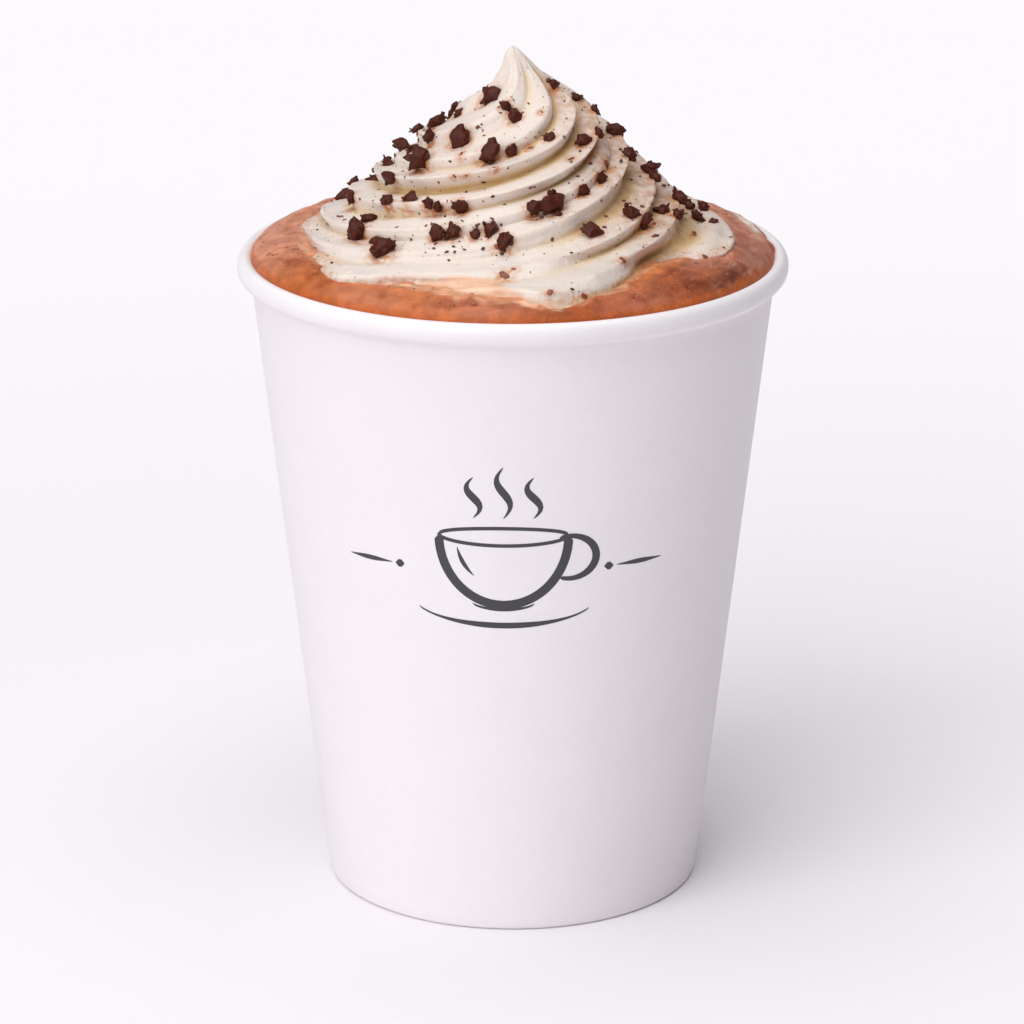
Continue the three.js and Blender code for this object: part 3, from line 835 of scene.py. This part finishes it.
def seen_from_front(points):
    """Where points land in the photograph's frame, in pixels, and how far off they are."""
    tilt = math.radians(CAMERA_ELEVATION)
    up_from_target = points[..., 2] - TARGET_Z
    away = CAMERA_DISTANCE + points[..., 1] * math.cos(tilt) - up_from_target * math.sin(tilt)
    up = points[..., 1] * math.sin(tilt) + up_from_target * math.cos(tilt)
    across = FRAME_MIDDLE + FOCAL_PIXELS * (points[..., 0] - TARGET_X) / away
    down = FRAME_MIDDLE - FOCAL_PIXELS * up / away
    return across, down, away


class FrontSpots:
    """Finds the spot on the side of the swirl that faces the front view, nearest to a pixel."""

    ROWS = 130
    COLUMNS = 26
    NEAR = 3
    AWAY_WEIGHT = 0.5

    def __init__(self):
        rows = CREAM_RISE * np.arange(1, self.ROWS) / self.ROWS
        columns = np.arange(RIDGES * self.COLUMNS) / self.COLUMNS
        self.climb, self.turns = np.meshgrid(rows, columns, indexing="ij")
        self.points = swirl_points(self.turns, self.climb)
        self.across, self.down, self.away = seen_from_front(self.points)

    def at(self, across, down):
        miss = np.hypot(self.across - across, self.down - down)
        score = np.maximum(miss, self.NEAR) + self.AWAY_WEIGHT * (self.away - CAMERA_DISTANCE)
        best = np.unravel_index(np.argmin(score), score.shape)
        return self.turns[best], self.climb[best], self.points[best]


def flake_spots(front):
    """The flakes' spots and sizes, the seen ones first: the same as in the solid."""
    draw = random_draws(FLAKE_SEED)
    spots = [(*front.at(across, down), size) for across, down, size in FLAKES_SEEN]
    wanted = len(spots) + FLAKES_SCATTERED
    while len(spots) < wanted:
        turns = math.floor(next(draw) * RIDGES) + mix(LEDGE_FROM, LEDGE_TO, next(draw))
        climb = SCATTER_LOW + (SCATTER_HIGH - SCATTER_LOW) * (1 - math.sqrt(next(draw)))
        size = mix(SMALL_FLAKE, LARGE_FLAKE, next(draw) ** 2)
        point = swirl_points(turns, climb)
        angle = math.degrees(math.atan2(point[1], point[0]))
        clear = all(np.linalg.norm(spot[2] - point) > FLAKE_SPACING for spot in spots)
        if SCATTER_FROM < angle < SCATTER_TO and clear:
            spots.append((turns, climb, point, size))
    return spots


def cream_unevenness(points, angle, turns, climb):
    """How far the piped surface stands off its formula, in millimetres."""
    low = 1 - smooth(2.0, 6.0, climb)
    strand = pattern(turns * 9, climb * 0.35)
    uneven = 0.2 * noise(points, 6.5, 1) + 0.11 * noise(points, 2.6, 2) + 0.06 * noise(strand, 1.0, 3)
    uneven += low * (0.22 * noise(points, 3.1, 4) + 0.1 * noise(points, 1.3, 5))
    out = np.hypot(points[..., 0], points[..., 1])
    raised = near(out, LOBE_CREST, 1.5) - 1.1 * near(out, LOBE_VALLEY, 1.1)
    streaks = noise(pattern(angle * 0.6, out * 0.25), 0.9, 7)
    uneven += bump(angle, LOBE_TOWARDS, LOBE_SPREAD) * (LOBE_RELIEF * raised + 0.12 * streaks * low)
    return uneven * (1 - smooth(CREAM_RISE - 1.5, CREAM_RISE, climb))


def blot_stain(points, blots):
    """1 at each flake and melted bit, where cocoa soaks into the cream, and 0 away from them."""
    stain = np.zeros(points.shape[:-1])
    for _, _, centre, size in blots:
        away = (points - centre + np.array([0, 0, STAIN_BELOW * size])) * np.array([1, 1, 0.8])
        distance = np.linalg.norm(away, axis=-1)
        stain = np.maximum(stain, np.exp(-((distance / (STAIN_REACH * size + STAIN_SPREAD)) ** 4)))
    return stain


def cream_swirl(material, spots, melts):
    """The swirl, stained where the chocolate lies and where its foot stands in the froth."""
    columns = np.arange(RIDGES * CREAM_COLUMNS) / CREAM_COLUMNS
    rows = CREAM_RISE * np.linspace(0, 1, CREAM_ROWS + 1)[:-1]
    climb, turns = np.meshgrid(rows, columns, indexing="ij")
    points, angle, valley = swirl_form(turns, climb, CREST_SHARPNESS_SHOWN)
    uneven = cream_unevenness(points, angle, turns, climb)
    points = points + grid_normals(points) * uneven[..., None]
    out = np.hypot(points[..., 0], points[..., 1])
    above = points[..., 2] - froth_height(out)
    reach = MELTED_HEIGHT * bump(angle, MELTED_TOWARDS, MELTED_SPREAD) - 0.1
    melted = smooth(0.25, -0.25, above + 0.45 * noise(points, 1.5, 8) - reach)
    soaked = smooth(1.2, 0.3, above + 0.5 * noise(points, 1.6, 6)) * (1 - melted)
    band = smooth(1.0, 7.0, climb) * smooth(31.0, 24.0, climb)
    values = {
        # painted shade in the valleys
        "valley": valley,
        "stain": np.maximum(blot_stain(points, spots + melts), 0.55 * soaked),
        # painted shade on the swirl's right side
        "painted_side_shade": bump(angle, SHADED_SIDE_TOWARDS, SHADED_SIDE_SPREAD) * band,
        "melted": melted,
    }
    flat, faces = capped(points, (0, 0, CREAM_BASE - 0.4), (0, 0, TIP_HEIGHT - 0.02))
    piece = made_piece("cream_swirl", flat, faces, "cream", material)
    for name, value in values.items():
        add_value(piece, name, np.append(value.ravel(), [0, 0]))
    tones = froth_tones(points, np.degrees(np.radians(angle) % math.tau), out).reshape(-1, 3)
    tones = mix(tones, linear(*MELTED_CREAM), 0.4)
    add_colour(piece, "foot_tone", np.concatenate([tones, tones[:2]]))
    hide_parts("whipped_cream")


# Chocolate

GOLDEN = (1 + math.sqrt(5)) / 2
ICOSAHEDRON = [
    (-1, GOLDEN, 0), (1, GOLDEN, 0), (-1, -GOLDEN, 0), (1, -GOLDEN, 0), (0, -1, GOLDEN), (0, 1, GOLDEN),
    (0, -1, -GOLDEN), (0, 1, -GOLDEN), (GOLDEN, 0, -1), (GOLDEN, 0, 1), (-GOLDEN, 0, -1), (-GOLDEN, 0, 1),
]
UNIT_CORNERS = np.array(ICOSAHEDRON) / math.hypot(1, GOLDEN)
ICOSAHEDRON_FACES = [
    (0, 11, 5), (0, 5, 1), (0, 1, 7), (0, 7, 10), (0, 10, 11), (1, 5, 9), (5, 11, 4), (11, 10, 2), (10, 7, 6),
    (7, 1, 8), (3, 9, 4), (3, 4, 2), (3, 2, 6), (3, 6, 8), (3, 8, 9), (4, 9, 5), (2, 4, 11), (6, 2, 10),
    (8, 6, 7), (9, 8, 1),
]
CORNER_ORDER = [0, 11, 5, 1, 7, 10, 9, 4, 2, 6, 8, 3]  # order in which the solid's corners draw their swell


def flake_corners(draw, width):
    """The twelve corners of a flake as the solid has them, before it is laid down."""
    corners = FLAKE_RADIUS * UNIT_CORNERS
    for corner in CORNER_ORDER:
        corners[corner] *= 1 + FLAKE_JITTER * (2 * next(draw) - 1)
    corners *= np.array([width, width * mix(FLAKE_NARROWEST, 1, next(draw)), width * FLAKE_THICKNESS])
    return spun(corners, math.tau * next(draw))


def cut_faces(corners, faces, cuts):
    """Cuts each triangle into smaller ones, joined along their edges."""
    points = []
    index = {}

    def point_at(weights):
        key = tuple(sorted(weights.items()))
        if key not in index:
            index[key] = len(points)
            points.append(sum(corners[c] * w for c, w in key) / cuts)
        return index[key]

    triangles = []
    for a, b, c in faces:
        grid = {}
        for i in range(cuts + 1):
            for j in range(cuts + 1 - i):
                weights = {corner: count for corner, count in ((a, cuts - i - j), (b, i), (c, j)) if count}
                grid[i, j] = point_at(weights)
        for i in range(cuts):
            for j in range(cuts - i):
                triangles.append((grid[i, j], grid[i + 1, j], grid[i, j + 1]))
                if i + j < cuts - 1:
                    triangles.append((grid[i + 1, j], grid[i + 1, j + 1], grid[i, j + 1]))
    return np.array(points), triangles


def laid_on(points, normal, centre):
    """Turns a piece from lying on a table to lying on a slope."""
    turn = Vector((0, 0, 1)).rotation_difference(Vector(normal))
    matrix = np.array(turn.to_matrix())
    return points @ matrix.T + centre


def crumbled(points, size, number):
    """Roughens a flake or a shard of it, so that its faces and edges look broken."""
    reach = np.linalg.norm(points, axis=1, keepdims=True)
    apart = points + number * 17.0
    swell = 0.28 * noise(apart, 0.4 * size, 31) + 0.17 * noise(apart, 0.18 * size, 32)
    return points * (1 + swell[:, None] * np.clip(reach / (0.35 * size), 0, 1))


def shard(draw, size, number):
    """A thin splinter that stands out of a flake."""
    fine, triangles = cut_faces(UNIT_CORNERS, ICOSAHEDRON_FACES, 3)
    half = size * np.array([draw.uniform(0.26, 0.42), draw.uniform(0.12, 0.24), draw.uniform(0.06, 0.12)])
    shape = crumbled(fine * half, size * 0.6, number)
    lean = Quaternion((0, 1, 0), math.radians(draw.uniform(-65, 25)))
    turn = Quaternion((0, 0, 1), draw.uniform(0, math.tau))
    matrix = np.array((turn @ lean).to_matrix())
    away = np.array([draw.uniform(0.18, 0.4) * size, 0, draw.uniform(0.0, 0.16) * size])
    return (shape + np.array(lean.inverted().to_matrix()) @ away) @ matrix.T, triangles


def chocolate_flakes(material, spots):
    draw = random_draws(FLAKE_SEED + 1)
    loose = np.random.default_rng(LOOSE_SEED + 3)
    shapes = []
    for number, (turns, climb, spot, size) in enumerate(spots):
        fine, triangles = cut_faces(flake_corners(draw, size), ICOSAHEDRON_FACES, FLAKE_CUTS)
        normal = swirl_normals(turns, climb)
        centre = spot + normal * FLAKE_SINK * size
        shapes.append((laid_on(crumbled(fine, size, number), normal, centre), triangles))
        for part in range(SHARDS):
            splinter, splinter_faces = shard(loose, size, number + 100 * part)
            shapes.append((laid_on(splinter, normal, centre), splinter_faces))
    piece = made_piece("chocolate_flakes", *joined(shapes), "chocolate", material)
    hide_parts("whipped_cream")


def lying(draw, place, normal, size, narrowest, widest, thickness):
    """A small bit on a surface: its place, normal, three half sizes and turn."""
    half = size / 2 * np.array([1, draw.uniform(narrowest, widest), thickness])
    return place, normal, half, draw.uniform(0, math.tau)


def small_bits(name, bits, material, cuts):
    """Many small bits in one mesh. Each is its place, normal, three half sizes, turn and colour."""
    fine, triangles = cut_faces(UNIT_CORNERS, ICOSAHEDRON_FACES, cuts)
    shapes = []
    for number, (place, normal, half, turn, _) in enumerate(bits):
        swell = 1 + 0.3 * noise(fine + number * 13.7, 0.7, 41)
        shape = spun(fine * swell[:, None] * half, turn)
        shapes.append((laid_on(shape, normal, place), triangles))
    piece = made_piece(name, *joined(shapes), "chocolate", material)
    add_colour(piece, "tone", np.repeat([colour for *_, colour in bits], len(fine), axis=0))


def on_swirl(draw, low, high):
    """A random spot on the cream, more of them where it is wide."""
    turns = draw.uniform(0, RIDGES)
    climb = low + (high - low) * (1 - math.sqrt(draw.uniform()))
    return swirl_points(turns, climb), swirl_normals(turns, climb)


def chocolate_crumbs(material, front, spots):
    draw = np.random.default_rng(LOOSE_SEED)
    dark = linear(72, 36, 28)
    brown = linear(134, 72, 48)
    bits = []

    def add(place, normal, size, narrowest):
        crumb = lying(draw, place, normal, size, narrowest, 0.9, 0.5)
        bits.append((*crumb, mix(dark, brown, draw.uniform())))

    for across, down, size in CRUMBS_SEEN:
        turns, climb, place = front.at(across, down)
        add(place, swirl_normals(turns, climb), size, 0.5)
    for turns, climb, _, size in spots:
        for _ in range(draw.integers(1, 5)):
            away = size * draw.uniform(0.45, 0.95)
            towards = draw.uniform(0, math.tau)
            near_turns = (turns + away * math.cos(towards) / CRUMB_TURN) % RIDGES
            near_climb = min(max(climb + away * math.sin(towards), 2.0), CREAM_RISE - 1)
            place = swirl_points(near_turns, near_climb)
            add(place, swirl_normals(near_turns, near_climb), draw.uniform(0.3, 0.85), 0.4)
    for _ in range(CRUMBS_SCATTERED):
        place, normal = on_swirl(draw, 2.2, 29.0)
        add(place, normal, draw.uniform(0.35, 0.9), 0.4)
    small_bits("chocolate_crumbs", bits, material, 2)


def chocolate_melts(material, melts):
    draw = np.random.default_rng(LOOSE_SEED + 1)
    bits = []
    for turns, climb, place, size in melts:
        colour = mix(linear(150, 78, 48), linear(122, 62, 44), draw.uniform())
        bits.append((*lying(draw, place, swirl_normals(turns, climb), size, 0.4, 0.7, 0.16), colour))
    small_bits("chocolate_melts", bits, material, 3)


def cocoa_specks(material):
    draw = np.random.default_rng(LOOSE_SEED + 2)
    tones = [linear(66, 58, 54), linear(104, 88, 78), linear(140, 92, 62), linear(158, 146, 134)]
    bits = []
    for _ in range(SPECKS_ON_CREAM):
        place, normal = on_swirl(draw, 1.8, 31.0)
        speck = lying(draw, place, normal, draw.uniform(0.1, 0.3), 0.6, 1.0, 0.45)
        bits.append((*speck, tones[draw.integers(len(tones))]))
    for _ in range(SPECKS_ON_FROTH):
        angle = np.array(draw.uniform(0, math.tau))
        radius = np.array(draw.uniform(34.0, 41.5))
        speck = lying(draw, froth_point(radius, angle), (0, 0, 1), draw.uniform(0.2, 0.5), 0.5, 1.0, 0.3)
        bits.append((*speck, linear(104, 54, 34)))
    small_bits("cocoa_specks", bits, material, 1)


# Drink

# The froth's tones round the cup. The rosy and mauve ones are painted sheen where the dome turns away at the
# left and far right. The russet and brown ones are the froth's colour with painted shade towards the right.
# The umber one is painted shade by the rim on the right.
ROSY_SHEEN = linear(216, 150, 124)
ORANGE = linear(188, 104, 56)
PEACH = linear(204, 118, 72)
RUSSET_SHADED = linear(168, 80, 34)
BROWN_SHADED = linear(160, 76, 34)
MAUVE_SHEEN = linear(198, 137, 118)
UMBER_SHADE = linear(108, 52, 32)
# Directions in degrees round from +X of what shows on the froth
DRIED_EDGE = 8.0
PALE_SMEAR = 13.0
CREAM_DRAWN_OUT = 256.0
LIT_RISE = 314.0
# where painted shade darkens the froth by the rim
SHADED_EDGE = 328.0
PALE_STREAKS = 350.0
GROUND = [  # the froth's tones, with the direction of each and how far it spreads
    (ORANGE, 218, 22), (PEACH, 250, 15), (RUSSET_SHADED, 282, 20), (BROWN_SHADED, 316, 22), (MAUVE_SHEEN, 356, 26),
]


def tinted(colour, tone, share):
    """Colours moved towards a tone, each by its own share."""
    return mix(colour, tone, share[..., None])


def froth_height(radius):
    share = np.minimum(radius / FROTH_RADIUS, 1)
    return CUP_HEIGHT + FROTH_EDGE + FROTH_RISE * (1 - share**FROTH_POWER) ** FROTH_ROUNDING


def froth_pits():
    """Places of the burst bubbles on the froth, with their radii."""
    draw = np.random.default_rng(LOOSE_SEED + 4)
    pits = []
    for number in range(FROTH_PITS):
        clustered = number % 3 == 0
        towards = math.radians(draw.uniform(172, 225) if clustered else draw.uniform(0, FULL_TURN))
        out = draw.uniform(34.5, 41.4)
        pits.append((out * math.cos(towards), out * math.sin(towards), draw.uniform(0.16, 0.42)))
    return pits


def fold_radius(points):
    """How far out the fold along the froth's front runs."""
    return FOLD_RADIUS + 0.9 * noise(points, 6.0, 56)


def froth_relief(points, degrees, radius):
    """Lumps, drawn-out streaks and a fold on the froth, in millimetres."""
    lumps = 0.2 * noise(points, 5.5, 51) + 0.12 * noise(points, 2.1, 52) + 0.06 * noise(points, 0.9, 53)
    streaks = 0.1 * noise(pattern(radius + degrees * 0.11, degrees * 0.12), 1.1, 54)
    folded = 0.55 * bump(degrees, CREAM_DRAWN_OUT, 26) * near(radius, fold_radius(points), 0.7)
    return (lumps + streaks + folded) * smooth(42.6, 41.2, radius)


def pit_depth(points):
    """1 in the middle of a burst bubble and 0 away from them all."""
    depth = np.zeros(points.shape[:-1])
    ragged = 1 + 0.5 * noise(points, 0.4, 55)
    for x, y, size in froth_pits():
        away = (points[..., 0] - x) ** 2 + (points[..., 1] - y) ** 2
        depth = np.maximum(depth, np.exp(-ragged * away / size**2))
    return depth


def froth_point(radius, angle):
    """A place on the froth's surface."""
    points = polar(radius, angle, froth_height(radius))
    points[..., 2] += froth_relief(points, np.degrees(angle % math.tau), radius)
    return points


def drawn_out(degrees, radius):
    """A pattern drawn out round the cup."""
    return pattern(radius + degrees * 0.05, degrees * 0.075)


def froth_ground(points, degrees, radius):
    """Painted rosy sheen at the back and left, orange in front, brown with painted shade on the right,
    painted dark shade by the rim there and painted mauve sheen at the far right, with darker and warmer
    streaks.
    """
    drawn = drawn_out(degrees, radius)
    colour = np.broadcast_to(ROSY_SHEEN, points.shape)
    for tone, towards, width in GROUND:
        colour = tinted(colour, tone, bump(degrees, towards, width))
    # Painted shade by the rim on the right side.
    shaded_right_edge = bump(degrees, SHADED_EDGE, 13) * smooth(36.5, 41.0, radius + noise(points, 4.0, 67))
    colour = tinted(colour, UMBER_SHADE, 0.8 * shaded_right_edge)
    dark = smooth(0.0, 0.7, 0.6 * noise(drawn, 1.3, 65) + 0.6 * noise(points, 1.7, 66))
    colour = tinted(colour, colour * linear(206, 172, 152), 0.6 * dark)
    warm = smooth(0.0, 0.7, 0.6 * noise(drawn, 1.9, 70) + 0.5 * noise(points, 3.1, 69))
    return tinted(colour, ORANGE, 0.45 * warm)


def beside_cream(colour, points, degrees, radius):
    """Cream drawn out into the froth beside the swirl, most of it in front on the left."""
    drawn = drawn_out(degrees, radius)
    out = radius - edge_radius(degrees)
    lit_fold = bump(degrees, LIT_RISE, 12) * smooth(4.0, 1.0, out + 0.8 * noise(points, 2.0, 75))
    colour = tinted(colour, linear(226, 138, 78), 0.85 * lit_fold)
    front_left = bump(degrees, CREAM_DRAWN_OUT, 17)
    reach = 0.7 + 3.9 * front_left
    beside = smooth(reach, 0.55 * reach, out + 0.8 * noise(points, 2.2, 63) + 0.3 * noise(drawn, 0.6, 73))
    colour = tinted(colour, linear(226, 164, 126), beside * (0.3 + 0.6 * front_left))
    wisps = smooth(-0.05, 0.4, 0.8 * noise(drawn, 0.7, 61) + 0.35 * noise(points, 0.9, 62))
    colour = tinted(colour, linear(245, 210, 180), beside * wisps * (0.25 + 0.6 * front_left))
    veins = smooth(0.25, 0.6, noise(drawn, 0.55, 74)) * beside * front_left
    return tinted(colour, ORANGE, 0.7 * veins)


def froth_tones(points, degrees, radius):
    """The froth's colours, with its smear, streaks, lit fold, burst bubbles and dried edges."""
    colour = beside_cream(froth_ground(points, degrees, radius), points, degrees, radius)
    smear = bump(degrees, PALE_SMEAR, 8) * near(radius + 0.5 * noise(points, 2.0, 76), 40.0, 0.9)
    colour = tinted(colour, linear(248, 230, 214), np.clip(smear * 2.0, 0, 1))
    swept = pattern(radius + degrees * 0.16, degrees * 0.16)
    streaks = smooth(0.15, 0.6, noise(swept, 0.4, 64)) * bump(degrees, PALE_STREAKS, 40)
    colour = tinted(colour, linear(206, 150, 130), 0.35 * streaks)
    crest = bump(degrees, CREAM_DRAWN_OUT - 2, 24) * near(radius, fold_radius(points) - 0.2, 0.6)
    colour = tinted(colour, linear(214, 124, 68), 0.7 * crest)
    colour = tinted(colour, linear(116, 46, 30), 0.85 * pit_depth(points))
    colour = tinted(colour, linear(196, 98, 42), 0.6 * smooth(41.9, 42.5, radius))
    ruddy = bump(degrees, DRIED_EDGE, 18) * smooth(41.0, 41.9, radius)
    return tinted(colour, linear(180, 84, 50), 0.75 * ruddy)


def cocoa(material):
    """The drink, from the cup's base up to its domed froth. It reaches just into the paper wall."""
    angles = np.linspace(0, math.tau, FROTH_COLUMNS, endpoint=False)
    bottom = FOOT_HEIGHT + GAP + PAPER + 0.02
    low_rings = [(inner_radius(bottom) * 0.5, bottom)]
    low_rings += [(inner_radius(height) + DRINK_OVERLAP, height) for height in (bottom, 60, 100)]
    low_rings += [(FROTH_RADIUS + DRINK_OVERLAP, CUP_HEIGHT - below) for below in (RIM_DEPTH / 2, 0.75)]
    rings = [polar(radius, angles, float(height)) for radius, height in low_rings]
    shares = np.linspace(0, 1, FROTH_RINGS)
    radii = FROTH_RADIUS - (FROTH_RADIUS - FROTH_SHOWN_FROM) * (0.35 * shares + 0.65 * shares**2)
    radii = np.append(radii, [18.0, 8.0])
    ragged = noise(pattern(angles * 30, angles * 0), 1.0, 72)
    wobble = 0.16 * noise(polar(40, angles, 0), 2.4, 71)
    wobble += 0.5 * bump(np.degrees(angles), DRIED_EDGE - 2, 16) * (ragged - 0.4)
    for radius in radii:
        points = froth_point(np.full_like(angles, radius), angles)
        around = radius + wobble * smooth(40.5, FROTH_RADIUS, radius)
        rings.append(polar(around, angles, points[:, 2] - 0.22 * pit_depth(points)))
    grid = np.array(rings)
    flat, faces = capped(grid, (0, 0, bottom), (0, 0, froth_height(0.0)))
    piece = made_piece("cocoa", flat, faces, "drink", material)
    degrees = np.degrees(np.broadcast_to(angles, grid.shape[:2]))
    colours = froth_tones(grid, degrees, np.hypot(grid[..., 0], grid[..., 1])).reshape(-1, 3)
    add_colour(piece, "tone", np.concatenate([colours, colours[:1], colours[-1:]]))
    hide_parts("hot_chocolate")


# Studio


def floor():
    half = 6.0  # in metres
    mesh = bpy.data.meshes.new("floor")
    corners = [(-half, -half, 0), (half, -half, 0), (half, half, 0), (-half, half, 0)]
    mesh.from_pydata(corners, [], [(0, 1, 2, 3)])
    plane = bpy.data.objects.new("floor", mesh)
    bpy.context.scene.collection.objects.link(plane)
    mesh.materials.append(floor_material())


def camera():
    data = bpy.data.cameras.new("camera")
    data.sensor_width = SENSOR
    data.lens = FOCAL_PIXELS / FRAME_PIXELS * SENSOR
    tilt = math.radians(CAMERA_ELEVATION)
    viewer = bpy.data.objects.new("camera", data)
    viewer.location = (
        TARGET_X * MILLIMETRE,
        -CAMERA_DISTANCE * math.cos(tilt) * MILLIMETRE,
        (TARGET_Z + CAMERA_DISTANCE * math.sin(tilt)) * MILLIMETRE,
    )
    viewer.rotation_euler = (math.pi / 2 - tilt, 0, 0)
    bpy.context.scene.collection.objects.link(viewer)
    bpy.context.scene.camera = viewer


def sun(name, towards, elevation, strength, softness):
    """A soft sun that stands in a direction round from +X, at an elevation."""
    data = bpy.data.lights.new(name, "SUN")
    data.energy = strength
    data.angle = math.radians(softness)
    light = bpy.data.objects.new(name, data)
    rise = math.radians(elevation)
    place = Vector(polar(math.cos(rise), math.radians(towards), math.sin(rise)))
    light.rotation_euler = (-place).to_track_quat("-Z", "Y").to_euler()
    light.location = place
    bpy.context.scene.collection.objects.link(light)


def lights():
    world = bpy.data.worlds.new("studio")
    world.use_nodes = True
    background = world.node_tree.nodes["Background"]
    background.inputs["Color"].default_value = (1.0, 0.985, 1.0, 1)
    background.inputs["Strength"].default_value = 0.11
    bpy.context.scene.world = world
    sun("key_light", towards=234, elevation=30, strength=1.72, softness=56)
    sun("top_light", towards=215, elevation=85, strength=2.06, softness=66)


def main():
    camera()
    lights()
    floor()
    bpy.context.scene.view_settings.view_transform = "Standard"
    front = FrontSpots()
    spots = flake_spots(front)
    melts = [(*front.at(across, down), size) for across, down, size in MELTS_SEEN]
    chocolate = chocolate_material()
    cup_paper(paper_material())
    cup_floor(inside_paper_material())
    cup_print(ink_material())
    cocoa(froth_material())
    cream_swirl(cream_material(), spots, melts)
    chocolate_flakes(chocolate, spots)
    chocolate_crumbs(loose_material("crumb_chocolate", 0.45), front, spots)
    chocolate_melts(loose_material("melted_chocolate", 0.3), melts)
    cocoa_specks(loose_material("cocoa_powder", 0.6))


main()
